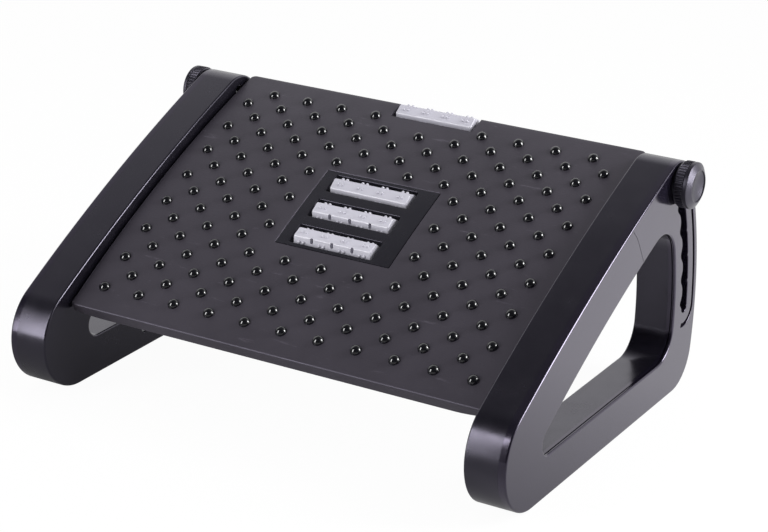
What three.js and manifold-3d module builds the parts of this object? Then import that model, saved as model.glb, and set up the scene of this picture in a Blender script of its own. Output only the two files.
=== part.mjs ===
// A tilting footrest that stands under a desk. Two triangular side frames carry a bumpy foot plate,
// which turns about two pins near its front edge and is clamped by a knob at each side in one of
// six notches. Massage rollers turn on pins in a panel in the plate and in the plate's rear edge.
// Millimetres. X runs across the footrest to the right, Y from front to rear, Z up from the floor.

import * as THREE from 'three';
import { mergeVertices } from 'three/addons/utils/BufferGeometryUtils.js';
import Module from 'manifold-3d';

const wasm = await Module();
wasm.setup();

const degree = Math.PI / 180;

// General sizes
const overallWidth = 480;
const clearance = 0.3;
const overrun = 5;

// Side frame: outline, seen from the right with the pivot's axis at y = 0
const frameThickness = 37;
const coverDepth = 7;
const frameWall = 3;
const frameEdge = 1.4;
const footProud = 1;
const pivotHeight = 79;
const frontRadius = 46.6;
const heelRadius = 36;
const topRadius = 31;
const rearReach = 301.5;
const crownRadius = 1785;
const crownFrontAngle = 120.5 * degree;

// Side frame: triangular hole
const bandFront = 47;
const bandRear = 44.3;
const bandFrontAngle = 119.2 * degree;
const bandRearAngle = 113 * degree;
const holeCrownRadius = 1250;
const holeFloor = 37.4;
const holeSetback = 20.5;
const holeTipRadius = 11.4;
const holeTopRadius = 28;
const holeHeelRadius = 28;

// Side frame: height slot with its notches, and the relief groove round it
const slotSetback = 24.5;
const slotHalfWidth = 5.25;
const notchCount = 6;
const notchStep = 5 * degree;
const lowestNotch = 0.3 * degree;
const notchDepth = 3.6;
const slotFoot = 0.9 * degree;
const slotHead = 1.2 * degree;
const tunnelWall = 2.5;
const grooveSetback = 7.6;
const grooveHalfWidth = 1.8;
const grooveHookAngle = 105 * degree;
const grooveDepth = 5;

// Side frame: inner ribs, pivot boss and screw bosses
const ribThickness = 2;
const ribCount = 3;
const bossRadius = 4.6;
const pivotBossRadius = 9;
const pivotBossLength = 20;

// Foot pads
const padLength = 46;
const padWidth = 20;
const padSeat = 2;
const padSetback = 8;
const padCorner = 5;

// Cover screws
const screwRadius = 1.6;
const screwHeadRadius = 3.4;
const screwHeadHeight = 2.2;
const screwRecessRadius = 1.5;
const screwRecessDepth = 1.2;
const screwBite = 2.4;

// Foot plate, in its own frame: origin on the pivot axis, y along the chord of its top
const plateGap = 1.5;
const plateOverhang = 22.8;
const plateCrown = 9.2;
const plateTilt = 25.43 * degree;
const plateSkin = 3;
const plateWall = 3;
const plateRib = 2.4;
const pocketColumns = 2;
const pivotSetback = 10.2;
const pivotDrop = 6.05;
const skirtDepth = 18.25;
const lipHeight = 11;
const lipEndHeight = 7.5;
const lipRound = 3;
const lipTaper = 30;
const plateEdge = 1.6;
const plateCorner = 5.5;
const noseRun = 14;
const noseDepth = 13.25;
const skirtRun = 40;

// Bumps on the foot plate
const bumpRadius = 5;
const bumpHeight = 4.1;
const bumpTopRadius = 2.7;
const bumpPitch = 36;
const bumpRowPitch = 17.45;
const bumpMargin = 1.5;
const bumpEndMargin = 20;
const bumpSides = 6;

// Pivot pins
const pinRadius = 4;
const pinFit = 0.2;
const pinInPlate = 20;

// Roller panel
const panelBorder = 15.4;
const panelMargin = 4.2;
const panelSetback = 111.4;
const panelFlange = 2.5;
const windowGap = 3;
const windowClear = 1.1;
const windowBar = 10.8;
const windowCount = 3;
const windowShift = 4;
const cradleWall = 1.2;
const cradleDepth = 13;

// Massage rollers
const rollerLength = 76;
const rollerRadius = 9.6;
const rollerAxisDrop = 6.05;
const rollerBore = 2.4;
const rollerPinRadius = 2;
const rollerPinSeat = 3.6;
const ridgeHalfAngle = 7 * degree;
const nubRadius = 1.8;
const nubHeight = 1.3;
const nubPitch = 20;
const nubSpacing = 4.4;
const nubSides = 4;
const rollerSlotLength = 5.2;
const rollerSlotWidth = 3;
const rollerSlotDepth = 3;
const rearRollerSetback = 8.7;

// Knobs with their studs, washers and nuts
const knobRadius = 20;
const knobRibDepth = 0.8;
const knobRibs = 18;
const knobGrip = 8.6;
const knobCollar = 3.4;
const knobBevel = 3.1;
const dishRadius = 14.4;
const dishDepth = 2.6;
const dishFloorRadius = 8;
const knobStand = 2.2;
const studRadius = 4;
const studInKnob = 9;
const washerRadius = 12;
const washerThickness = 1.6;
const nutRadius = 7.5;
const nutThickness = 6.5;
const nutBossRadius = 10.5;
const nutBossLength = 22;

// Places that follow from the sizes
const outerFace = overallWidth / 2;
const innerFace = outerFace - frameThickness;
const parting = outerFace - coverDepth;
const highestNotch = lowestNotch + (notchCount - 1) * notchStep;
const pivot = [0, pivotHeight];
const slotReach = rearReach - slotSetback;
const holeReach = slotReach - holeSetback;
const grooveOffset = slotSetback - grooveSetback;
const plateHalf = innerFace - plateGap;
const plateLength = pivotSetback + slotReach + plateOverhang;
const plateFront = -pivotSetback;
const plateRear = plateFront + plateLength;
const bumpRows = 1 + Math.floor((plateLength - 2 * bumpEndMargin) / bumpRowPitch);
const windowLength = rollerLength + 2 * windowGap;
const windowDepth = 2 * (rollerRadius + windowClear);
const windowPitch = windowDepth + windowBar;
const panelWidth = windowLength + 2 * panelBorder;

// Plane geometry

const polar = ([y, z], radius, angle) => [y + radius * Math.cos(angle), z + radius * Math.sin(angle)];

const heading = (from, to) => Math.atan2(to[1] - from[1], to[0] - from[0]);

function arc(centre, radius, from, to, steps) {
  return Array.from({ length: steps + 1 }, (_, i) => polar(centre, radius, from + ((to - from) * i) / steps));
}

// Where two circles cross: the crossing to the left of the line from the first centre to the second
function meet(a, radiusA, b, radiusB) {
  const span = Math.hypot(b[0] - a[0], b[1] - a[1]);
  const along = (span * span + radiusA * radiusA - radiusB * radiusB) / (2 * span);
  const turn = Math.acos(along / radiusA);
  return polar(a, radiusA, heading(a, b) + turn);
}

// A closed outline of arcs that run on into one another, drawn inwards by an inset
function arcLoop(arcs, inset) {
  return arcs.flatMap(([centre, radius, from, to, steps], index) => {
    const points = arc(centre, radius - inset, from, to, steps);
    return index === arcs.length - 1 ? points : points.slice(0, -1);
  });
}

// Solids

function outward(geometry) {
  const { array } = geometry.attributes.position;
  const index = geometry.index.array;
  const corner = (i) => new THREE.Vector3().fromArray(array, 3 * index[i]);
  let volume = 0;
  for (let i = 0; i < index.length; i += 3) volume += corner(i).dot(corner(i + 1).cross(corner(i + 2)));
  if (volume < 0) {
    for (let i = 0; i < index.length; i += 3) [index[i], index[i + 1]] = [index[i + 1], index[i]];
  }
  return geometry;
}

function solid(geometry) {
  const bare = geometry.clone();
  bare.deleteAttribute('normal');
  bare.deleteAttribute('uv');
  const merged = outward(mergeVertices(bare, clearance / 1000));
  return new wasm.Manifold(new wasm.Mesh({
    numProp: 3,
    vertProperties: new Float32Array(merged.attributes.position.array),
    triVerts: new Uint32Array(merged.index.array),
  }));
}

function geometryOf(manifold) {
  const { vertProperties, triVerts } = manifold.getMesh();
  const geometry = new THREE.BufferGeometry();
  geometry.setAttribute('position', new THREE.BufferAttribute(vertProperties, 3));
  geometry.setIndex(new THREE.BufferAttribute(triVerts, 1));
  return geometry;
}

const joined = (solids) => solids.reduce((whole, next) => whole.add(next));

// An outline in the y-z plane extruded along x between two places
function prism(points, xa, xb) {
  const shape = new THREE.Shape(points.map(([y, z]) => new THREE.Vector2(y, z)));
  const geometry = new THREE.ExtrudeGeometry(shape, { depth: Math.abs(xb - xa), bevelEnabled: false });
  geometry.translate(0, 0, Math.min(xa, xb));
  const toPlace = new THREE.Matrix4().makeBasis(
    new THREE.Vector3(0, 1, 0), new THREE.Vector3(0, 0, 1), new THREE.Vector3(1, 0, 0));
  return solid(geometry.applyMatrix4(toPlace));
}

// A skin over outlines of as many points each, every one at its own x
function loft(rings) {
  const count = rings[0].points.length;
  const positions = rings.flatMap(({ x, points }) => points.flatMap(([y, z]) => [x, y, z]));
  const index = [];
  for (let ring = 0; ring < rings.length - 1; ring += 1) {
    for (let i = 0; i < count; i += 1) {
      const a = ring * count + i;
      const b = ring * count + ((i + 1) % count);
      index.push(a, b, b + count, a, b + count, a + count);
    }
  }
  const cap = (ring) => THREE.ShapeUtils
    .triangulateShape(rings[ring].points.map(([y, z]) => new THREE.Vector2(y, z)), [])
    .map((face) => face.map((i) => ring * count + i));
  cap(0).forEach(([a, b, c]) => index.push(a, c, b));
  cap(rings.length - 1).forEach((face) => index.push(...face));
  const geometry = new THREE.BufferGeometry();
  geometry.setAttribute('position', new THREE.Float32BufferAttribute(positions, 3));
  geometry.setIndex(index);
  return solid(geometry);
}

// A turned piece on an axis along x through (y, z): the profile lists [x, radius], axis to axis
function turned(profile, [y, z], sides) {
  const lathe = new THREE.LatheGeometry(profile.map(([x, r]) => new THREE.Vector2(r, x)), sides);
  return solid(lathe.rotateZ(-Math.PI / 2).translate(0, y, z));
}

function rod(radius, xa, xb, centre, sides) {
  return turned([[xa, 0], [xa, radius], [xb, radius], [xb, 0]], centre, sides);
}

// Side frame outlines

const frontCentre = [0, footProud + frontRadius];
const crownCentre = polar(frontCentre, crownRadius - frontRadius, crownFrontAngle + Math.PI);
const heelRise = footProud + heelRadius - pivotHeight;
const heelCentre = [Math.sqrt((rearReach - heelRadius) ** 2 - heelRise ** 2), footProud + heelRadius];
const topCentre = meet(pivot, rearReach - topRadius, crownCentre, crownRadius - topRadius);

const frameArcs = [
  [heelCentre, heelRadius, -Math.PI / 2, heading(pivot, heelCentre), 5],
  [pivot, rearReach, heading(pivot, heelCentre), heading(pivot, topCentre), 7],
  [topCentre, topRadius, heading(pivot, topCentre), heading(crownCentre, topCentre), 5],
  [crownCentre, crownRadius, heading(crownCentre, topCentre), crownFrontAngle, 5],
  [frontCentre, frontRadius, crownFrontAngle, 1.5 * Math.PI, 9],
];
const frameOutline = (inset) => arcLoop(frameArcs, inset);

const onBand = (depth, angle) => polar(crownCentre, crownRadius - depth, angle);
const bandStart = onBand(bandFront, bandFrontAngle);
const bandEnd = onBand(bandRear, bandRearAngle);
const holeCrownCentre = meet(bandEnd, holeCrownRadius, bandStart, holeCrownRadius);
const tipRise = holeFloor + holeTipRadius - holeCrownCentre[1];
const tipCentre = [
  holeCrownCentre[0] - Math.sqrt((holeCrownRadius - holeTipRadius) ** 2 - tipRise ** 2),
  holeFloor + holeTipRadius,
];
const holeHeelRise = holeFloor + holeHeelRadius - pivotHeight;
const holeHeelCentre = [
  Math.sqrt((holeReach - holeHeelRadius) ** 2 - holeHeelRise ** 2),
  holeFloor + holeHeelRadius,
];
const holeTopCentre = meet(
  pivot, holeReach - holeTopRadius, holeCrownCentre, holeCrownRadius - holeTopRadius);

const holeArcs = [
  [holeHeelCentre, holeHeelRadius, -Math.PI / 2, heading(pivot, holeHeelCentre), 5],
  [pivot, holeReach, heading(pivot, holeHeelCentre), heading(pivot, holeTopCentre), 5],
  [holeTopCentre, holeTopRadius, heading(pivot, holeTopCentre), heading(holeCrownCentre, holeTopCentre), 5],
  [holeCrownCentre, holeCrownRadius, heading(holeCrownCentre, holeTopCentre),
    heading(holeCrownCentre, tipCentre), 4],
  [tipCentre, holeTipRadius, heading(holeCrownCentre, tipCentre), 1.5 * Math.PI, 5],
];
const holeOutline = (inset) => arcLoop(holeArcs, inset);

const slotBottom = lowestNotch - slotFoot;
const slotTop = highestNotch + slotHead;

// How far the front edge of the slot is scooped out at an angle about the pivot
function scoop(angle) {
  const wave = 0.5 + 0.5 * Math.cos((2 * Math.PI * (angle - lowestNotch)) / notchStep);
  return notchDepth * wave ** 1.5;
}

function slotOutline() {
  const rear = arc(pivot, slotReach + slotHalfWidth, slotBottom, slotTop, 8);
  const head = arc(polar(pivot, slotReach, slotTop), slotHalfWidth, slotTop, slotTop + Math.PI, 4);
  const foot = arc(polar(pivot, slotReach, slotBottom), slotHalfWidth,
    slotBottom + Math.PI, slotBottom + 2 * Math.PI, 4);
  const steps = 4 * (notchCount - 1);
  const front = Array.from({ length: steps + 1 }, (_, i) => {
    const angle = highestNotch - ((highestNotch - lowestNotch) * i) / steps;
    return polar(pivot, slotReach - slotHalfWidth - scoop(angle), angle);
  });
  return [...rear, ...head.slice(1), ...front, ...foot.slice(0, -1)];
}

// A smooth slot that lies outside the notched one by a wall
function tunnelOutline(grow) {
  const half = slotHalfWidth + notchDepth + grow;
  const foot = arc(polar(pivot, slotReach, slotBottom), half, slotBottom + Math.PI, slotBottom + 2 * Math.PI, 4);
  const head = arc(polar(pivot, slotReach, slotTop), half, slotTop, slotTop + Math.PI, 4);
  const rear = arc(pivot, slotReach + half, slotBottom, slotTop, 6).slice(1, -1);
  const front = arc(pivot, slotReach - half, slotTop, slotBottom, 6).slice(1, -1);
  return [...foot, ...rear, ...head, ...front];
}

// The groove follows the slot's rear side and hooks in under its foot
function grooveOutline() {
  const hookCentre = polar(pivot, slotReach, slotBottom);
  const side = (shift) => [
    ...arc(pivot, slotReach + grooveOffset + shift, highestNotch, slotBottom, 7),
    ...arc(hookCentre, grooveOffset + shift, slotBottom, slotBottom - grooveHookAngle, 5).slice(1),
  ];
  return [...side(grooveHalfWidth).reverse(), ...side(-grooveHalfWidth)];
}

// Screws: one in the bar along the floor, two along the slanted bar and one in the heel
const floorShare = 0.36;
const heelShares = [0.3, -0.28];
const screwPlaces = [
  [heelCentre[0] * floorShare, holeFloor / 2],
  onBand(bandFront / 2, (bandFrontAngle + bandRearAngle) / 2),
  onBand(bandRear / 2, bandRearAngle - (bandFrontAngle - bandRearAngle) / 6),
  [heelCentre[0] + heelRadius * heelShares[0], heelCentre[1] + heelRadius * heelShares[1]],
];

const padFronts = [padSetback, heelCentre[0] - padSetback - padLength];
const padTop = footProud + padSeat;
const padMiddle = innerFace + frameWall + padWidth / 2;

// Side frame pieces; side is 1 on the right and -1 on the left

function padBox(grow, side, front, from, to) {
  const half = padWidth / 2 + grow;
  const points = [[front - grow, from], [front + padLength + grow, from],
    [front + padLength + grow, to], [front - grow, to]];
  return prism(points, side * (padMiddle - half), side * (padMiddle + half));
}

function frameShell(side) {
  const body = loft([
    { x: side * innerFace, points: frameOutline(frameEdge) },
    { x: side * (innerFace + frameEdge), points: frameOutline(0) },
    { x: side * parting, points: frameOutline(0) },
  ]);
  const hole = loft([
    { x: side * (innerFace - overrun), points: holeOutline(-frameEdge) },
    { x: side * innerFace, points: holeOutline(-frameEdge) },
    { x: side * (innerFace + frameEdge), points: holeOutline(0) },
    { x: side * (parting + overrun), points: holeOutline(0) },
  ]);
  const deep = side * (innerFace + frameWall);
  const open = side * (parting + overrun);
  const ribTop = side * (parting - frameWall);
  const ribSpan = heelCentre[0] / ribCount;
  const ribs = Array.from({ length: ribCount }, (_, i) => {
    const y = ribSpan * (i + 0.5);
    return prism([[y, 0], [y + ribThickness, 0], [y + ribThickness, rearReach], [y, rearReach]], deep, ribTop);
  });
  const bosses = screwPlaces.map((place) => rod(bossRadius, deep, side * parting, place, 8));
  const pivotBoss = rod(pivotBossRadius, deep, side * (innerFace + pivotBossLength), pivot, 16);
  const padBacks = padFronts.map((front) => padBox(frameWall / 2, side, front, 0, padTop + frameWall));
  const kept = [prism(holeOutline(-frameWall), deep, open), prism(tunnelOutline(tunnelWall), deep, open),
    pivotBoss, ...ribs, ...bosses, ...padBacks];
  const cavity = prism(frameOutline(frameWall), deep, open).subtract(joined(kept));
  const cuts = [
    hole,
    prism(slotOutline(), side * (innerFace - overrun), open),
    rod(pinRadius + clearance, side * (innerFace - overrun), side * (innerFace + pivotBossLength - frameWall),
      pivot, 16),
    ...padFronts.map((front) => padBox(clearance, side, front, -overrun, padTop)),
    ...screwPlaces.flatMap((place) => [
      rod(screwRadius + clearance, side * (innerFace - overrun), open, place, 8),
      rod(screwHeadRadius + clearance, side * (innerFace - overrun), side * (innerFace + screwHeadHeight), place, 8),
    ]),
  ];
  return body.subtract(cavity).subtract(joined(cuts));
}

function frameCover(side) {
  const seat = side * (parting + clearance);
  const bevel = side * (outerFace - frameEdge);
  const near = side * (parting - overrun);
  const past = side * (outerFace + overrun);
  const body = loft([
    { x: seat, points: frameOutline(0) },
    { x: bevel, points: frameOutline(0) },
    { x: side * outerFace, points: frameOutline(frameEdge) },
  ]);
  const hole = loft([
    { x: near, points: holeOutline(0) },
    { x: bevel, points: holeOutline(0) },
    { x: side * outerFace, points: holeOutline(-frameEdge) },
    { x: past, points: holeOutline(-frameEdge) },
  ]);
  const bores = screwPlaces.map((place) => (
    rod(screwRadius + clearance, near, side * (parting + screwBite + clearance), place, 8)));
  return body.subtract(joined([
    hole,
    prism(slotOutline(), near, past),
    prism(grooveOutline(), side * (outerFace - grooveDepth), past),
    ...bores,
  ]));
}

function coverScrew(side, place) {
  const start = side * (innerFace + clearance);
  const step = side * (innerFace + screwHeadHeight - clearance);
  return turned([
    [start + side * screwRecessDepth, 0],
    [start + side * screwRecessDepth, screwRecessRadius],
    [start, screwRecessRadius],
    [start, screwHeadRadius],
    [step, screwHeadRadius],
    [step, screwRadius],
    [side * (parting + screwBite), screwRadius],
    [side * (parting + screwBite), 0],
  ], place, 8);
}

function footPad(side, front) {
  const shape = new THREE.Shape();
  const half = padWidth / 2;
  const middle = side * padMiddle;
  const corners = [[half, 0, 0], [half, padLength, 1], [-half, padLength, 2], [-half, 0, 3]];
  corners.forEach(([x, y, quarter]) => {
    const inX = x - Math.sign(x) * padCorner;
    const inY = y + (y > 0 ? -padCorner : padCorner);
    const start = (quarter - 1) * (Math.PI / 2);
    shape.absarc(middle + inX, front + inY, padCorner, start, start + Math.PI / 2, false);
  });
  return solid(new THREE.ExtrudeGeometry(shape, {
    depth: padTop - clearance, bevelEnabled: false, curveSegments: 2,
  }));
}

function pivotPin(side) {
  const points = [
    [side * (plateHalf - pinInPlate + clearance), 0],
    [side * (plateHalf - pinInPlate + clearance), pinRadius],
    [side * (innerFace + pivotBossLength - frameWall - clearance), pinRadius],
    [side * (innerFace + pivotBossLength - frameWall - clearance), 0],
  ];
  return turned(points, pivot, 16);
}

// Foot plate, in its own frame

const plateArcRadius = plateLength ** 2 / (8 * plateCrown) + plateCrown / 2;
const plateMiddle = (plateFront + plateRear) / 2;
const surface = (y) => pivotDrop + plateCrown - plateArcRadius
  + Math.sqrt(plateArcRadius ** 2 - (y - plateMiddle) ** 2);
const under = (y, depth) => [y, surface(y) - depth];

function along(from, to, depth, steps) {
  return Array.from({ length: steps + 1 }, (_, i) => under(from + ((to - from) * i) / steps, depth));
}

// The top surface from rear to front, with its steps halfway between rows of bumps
function crest(from, to) {
  const half = Math.floor(bumpRows / 4);
  const middles = Array.from({ length: 2 * half + 1 }, (_, i) => plateMiddle + (half - i) * 2 * bumpRowPitch);
  return [from, ...middles.filter((y) => y < from - bumpRadius && y > to + bumpRadius), to]
    .map((y) => under(y, 0));
}

// The region between two depths below the top surface, from front to rear
const slice = (from, to, top, bottom, steps) => [
  ...along(from, to, bottom, steps), ...along(to, from, top, steps)];

// The plate's side view where its front lip has a height and its rear edge is drawn in
function plateProfile(lip, drawnIn) {
  const rear = plateRear - drawnIn;
  const front = plateFront + drawnIn * (plateEdge / plateCorner);
  const soft = lipRound * (1 - Math.SQRT1_2);
  return [
    under(front, lip),
    under(plateFront + noseRun, Math.max(noseDepth, lip)),
    ...along(plateFront + skirtRun, rear, skirtDepth, 4),
    under(rear, plateEdge),
    ...crest(rear - plateEdge, front + lipRound),
    under(front + soft, soft),
    under(front, lipRound),
  ];
}

function plateBody() {
  const steps = [0, plateEdge, plateCorner, lipTaper / 2, lipTaper];
  const ring = (inset) => {
    const share = 1 - inset / lipTaper;
    const lip = lipHeight - (lipHeight - lipEndHeight) * share ** 2;
    const corner = Math.max(0, 1 - inset / plateCorner);
    return { x: plateHalf - inset, points: plateProfile(lip, plateCorner * corner ** 2) };
  };
  const half = steps.map(ring);
  const mirrored = half.map(({ x, points }) => ({ x: -x, points })).reverse();
  return loft([...half, ...mirrored].reverse());
}

const ledgeWidth = panelMargin - cradleWall - clearance;
const panelFront = plateFront + panelSetback;
const panelRear = panelFront + (windowCount - 1) * windowPitch + windowDepth + 2 * panelMargin;
const windowMiddles = Array.from({ length: windowCount }, (_, i) => (
  panelRear - panelMargin - windowDepth / 2 - i * windowPitch));
const rearRollerY = plateRear - rearRollerSetback;
const axisOf = (y) => under(y, rollerAxisDrop);
const studLocal = polar([0, 0], slotReach, highestNotch - plateTilt);

function bumpPlaces() {
  const places = [];
  const firstRow = plateMiddle + (bumpRowPitch * (bumpRows - 1)) / 2;
  const reach = plateHalf - bumpRadius - plateWall;
  for (let row = 0; row < bumpRows; row += 1) {
    const y = firstRow - row * bumpRowPitch;
    const shift = row % 2 === 0 ? bumpPitch / 2 : 0;
    for (let x = shift - Math.ceil(plateHalf / bumpPitch) * bumpPitch; x < reach; x += bumpPitch) {
      const keepOut = bumpRadius + bumpMargin;
      const inPanel = Math.abs(x) < panelWidth / 2 + keepOut - bumpMargin
        && y > panelFront - keepOut && y < panelRear + keepOut;
      const inNotch = Math.abs(x) < windowLength / 2 + keepOut && y > rearRollerY - windowDepth / 2 - keepOut;
      if (x > -reach && !inPanel && !inNotch) places.push([x, y]);
    }
  }
  return places;
}

// A pyramid of so many sides that is as wide as the radius at z = 0 and reaches below it
function pyramid(radius, height, sides, sunk) {
  const foot = radius * (1 + sunk / height);
  const profile = [[0, -2 * sunk], [foot, -sunk], [0, height]];
  const lathe = new THREE.LatheGeometry(profile.map(([r, z]) => new THREE.Vector2(r, z)), sides);
  return lathe.rotateX(Math.PI / 2);
}

// Pyramids stand on the crowned surface and are all cut off at the bumps' height
function withBumps(plate) {
  const peak = bumpHeight / (1 - bumpTopRadius / bumpRadius);
  const steep = pyramid(bumpRadius, peak, bumpSides, bumpHeight / 4);
  const pegs = bumpPlaces().map(([x, y]) => {
    const lean = -Math.asin((y - plateMiddle) / plateArcRadius);
    return solid(steep.clone().rotateX(lean).translate(x, y, surface(y)));
  });
  const above = prism(slice(plateFront, plateRear, -2 * peak, -bumpHeight, bumpRows), -plateHalf, plateHalf);
  return plate.add(joined(pegs)).subtract(above);
}

function pocket(xa, xb, from, to) {
  return prism(slice(from, to, plateSkin, skirtDepth + overrun, 1), xa, xb);
}

function underPockets() {
  const sideWall = plateHalf - plateWall;
  const columnWidth = (sideWall - panelWidth / 2 - plateRib) / pocketColumns;
  const rowFront = plateFront + noseRun + plateWall;
  const rowRear = rearRollerY - windowDepth / 2 - plateWall;
  const rows = [[rowFront, panelFront - plateRib], [panelFront, panelRear], [panelRear + plateRib, rowRear]];
  const pockets = [];
  for (const side of [-1, 1]) {
    for (let column = 0; column < pocketColumns; column += 1) {
      const start = panelWidth / 2 + plateRib + column * columnWidth;
      const end = start + columnWidth - (column < pocketColumns - 1 ? plateRib : 0);
      rows.forEach(([from, to]) => pockets.push(pocket(side * start, side * end, from, to)));
    }
  }
  const middle = panelWidth / 2;
  pockets.push(pocket(-middle, middle, rowFront, panelFront - plateRib));
  pockets.push(pocket(-middle, middle, panelRear + plateRib, rowRear));
  return joined(pockets);
}

function plateBosses(side) {
  const end = side * plateHalf;
  return rod(pivotBossRadius, side * (plateHalf - pinInPlate - plateWall), end, [0, 0], 16)
    .add(rod(nutBossRadius, side * (plateHalf - nutBossLength), end, studLocal, 16));
}

function sideBores(side) {
  const past = side * (plateHalf + overrun);
  const nutFrom = side * (plateHalf - nutBossLength - overrun);
  const nutTo = side * (plateHalf - nutBossLength + nutThickness + clearance);
  return joined([
    rod(pinRadius + pinFit, side * (plateHalf - pinInPlate), past, [0, 0], 16),
    rod(studRadius + clearance, nutFrom, past, studLocal, 16),
    rod(nutRadius + clearance, nutFrom, nutTo, studLocal, 6),
  ]);
}

function platform() {
  const whole = plateBody();
  const half = panelWidth / 2;
  const hollowed = whole
    .subtract(underPockets())
    .add(plateBosses(1).add(plateBosses(-1)).intersect(whole));
  const ledge = ledgeWidth;
  const opening = prism(slice(panelFront + ledge, panelRear - ledge, -overrun, skirtDepth + overrun, 1),
    -half + ledge, half - ledge);
  const recess = prism(slice(panelFront, panelRear, -overrun, panelFlange + clearance, 3), -half, half);
  const notch = prism(slice(rearRollerY - windowDepth / 2, plateRear + overrun, -overrun, skirtDepth + overrun, 1),
    -windowLength / 2, windowLength / 2);
  const seat = windowLength / 2 + rollerPinSeat;
  const pinSeat = rod(rollerPinRadius + clearance, -seat - clearance, seat + clearance, axisOf(rearRollerY), 12);
  return withBumps(hollowed)
    .subtract(joined([opening, recess, notch, pinSeat, sideBores(1), sideBores(-1)]));
}

function rollerPanel() {
  const half = panelWidth / 2 - clearance;
  const from = panelFront + clearance;
  const to = panelRear - clearance;
  const flange = prism(slice(from, to, 0, panelFlange, 3), -half, half);
  const windowHalf = windowLength / 2;
  const seat = windowHalf + rollerPinSeat;
  const cradleHalf = seat + cradleWall / 2;
  const cradles = windowMiddles.map((y) => {
    const reach = windowDepth / 2 + cradleWall;
    return prism(slice(y - reach, y + reach, panelFlange / 2, cradleDepth, 1),
      -windowShift - cradleHalf, -windowShift + cradleHalf);
  });
  const cuts = windowMiddles.flatMap((y) => [
    prism(slice(y - windowDepth / 2, y + windowDepth / 2, -overrun, cradleDepth + overrun, 1),
      -windowShift - windowHalf, -windowShift + windowHalf),
    rod(rollerPinRadius + clearance, -windowShift - seat - clearance, -windowShift + seat + clearance,
      axisOf(y), 12),
  ]);
  return flange.add(joined(cradles)).subtract(joined(cuts));
}

// Rollers

function rollerSection() {
  return Array.from({ length: 6 }, (_, i) => i * 60 * degree)
    .flatMap((angle) => [angle - ridgeHalfAngle, angle + ridgeHalfAngle])
    .map((angle) => polar([0, 0], rollerRadius, angle));
}

function roller() {
  const half = rollerLength / 2;
  const edge = rollerRadius / 12;
  const section = rollerSection();
  const smaller = section.map(([y, z]) => [y * (1 - edge / rollerRadius), z * (1 - edge / rollerRadius)]);
  const body = loft([
    { x: -half, points: smaller }, { x: -half + edge, points: section },
    { x: half - edge, points: section }, { x: half, points: smaller },
  ]);
  const nub = pyramid(nubRadius, nubHeight, nubSides, nubHeight);
  const flat = rollerRadius * Math.cos(30 * degree - ridgeHalfAngle);
  const nubs = [];
  const slots = [];
  for (let face = 0; face < 6; face += 1) {
    const turn = (face * 60 + 30) * degree;
    for (let group = -1.5; group < 2; group += 1) {
      for (const pair of [-0.5, 0.5]) {
        const x = group * nubPitch + pair * nubSpacing;
        nubs.push(solid(nub.clone().translate(x, 0, flat).rotateX(turn - Math.PI / 2)));
      }
    }
    if (face % 2 === 0) {
      for (const group of [-1, 0, 1]) {
        const box = new THREE.BoxGeometry(rollerSlotWidth, rollerSlotLength, 2 * rollerSlotDepth);
        slots.push(solid(box.translate(group * nubPitch, 0, rollerRadius).rotateX(face * 60 * degree - Math.PI / 2)));
      }
    }
  }
  const bore = rod(rollerBore, -half - overrun, half + overrun, [0, 0], 12);
  return body.add(joined(nubs)).subtract(joined([...slots, bore]));
}

function rollerPin() {
  const half = windowLength / 2 + rollerPinSeat;
  return rod(rollerPinRadius, -half, half, [0, 0], 12);
}

// Knobs

function gripOutline() {
  return Array.from({ length: 2 * knobRibs }, (_, i) => polar(
    [0, 0], knobRadius - (i % 2 === 0 ? 0 : knobRibDepth), (i * Math.PI) / knobRibs));
}

function knob(side) {
  const round = (radius) => arc([0, 0], radius, 0, 2 * Math.PI, 2 * knobRibs).slice(0, -1);
  const foot = outerFace + knobStand;
  const rings = [
    { x: foot, points: gripOutline() },
    { x: foot + knobGrip, points: gripOutline() },
    { x: foot + knobGrip, points: round(knobRadius) },
    { x: foot + knobGrip + knobCollar, points: round(knobRadius) },
    { x: foot + knobGrip + knobCollar + knobBevel, points: round(dishRadius) },
    { x: foot + knobGrip + knobCollar + knobBevel - dishDepth, points: round(dishFloorRadius) },
  ].map(({ x, points }) => ({ x: side * x, points }));
  const bore = rod(studRadius + clearance, side * (foot - overrun), side * (foot + studInKnob + clearance),
    [0, 0], 16);
  return loft(rings).subtract(bore);
}

function knobStud(side) {
  const inner = side * (plateHalf - nutBossLength);
  return rod(studRadius, inner, side * (outerFace + knobStand + studInKnob), [0, 0], 16);
}

function knobWasher(side) {
  const near = side * (outerFace + clearance);
  const far = side * (outerFace + clearance + washerThickness);
  return rod(washerRadius, near, far, [0, 0], 18)
    .subtract(rod(studRadius + clearance, near - side * overrun, far + side * overrun, [0, 0], 12));
}

function captiveNut(side) {
  const near = side * (plateHalf - nutBossLength);
  const far = near + side * nutThickness;
  return rod(nutRadius, near, far, [0, 0], 6)
    .subtract(rod(studRadius + clearance, near - side * overrun, far + side * overrun, [0, 0], 16));
}

// Materials

const paint = (color, roughness, metalness) => new THREE.MeshStandardMaterial({
  color, roughness, metalness, flatShading: true,
});
const blackPlastic = paint(0x2b2a2e, 0.42, 0);
const coverPlastic = paint(0x323136, 0.38, 0);
const panelPlastic = paint(0x36373c, 0.4, 0);
const whitePlastic = paint(0xdfe1ea, 0.35, 0);
const rubber = paint(0x171719, 0.85, 0);
const steel = paint(0xb9bcc2, 0.32, 1);

// Assembly

function piece(name, manifold, material, place = [0, 0], across = 0) {
  const mesh = new THREE.Mesh(geometryOf(manifold), material);
  mesh.name = name;
  mesh.position.set(across, place[0], place[1]);
  return mesh;
}

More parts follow.
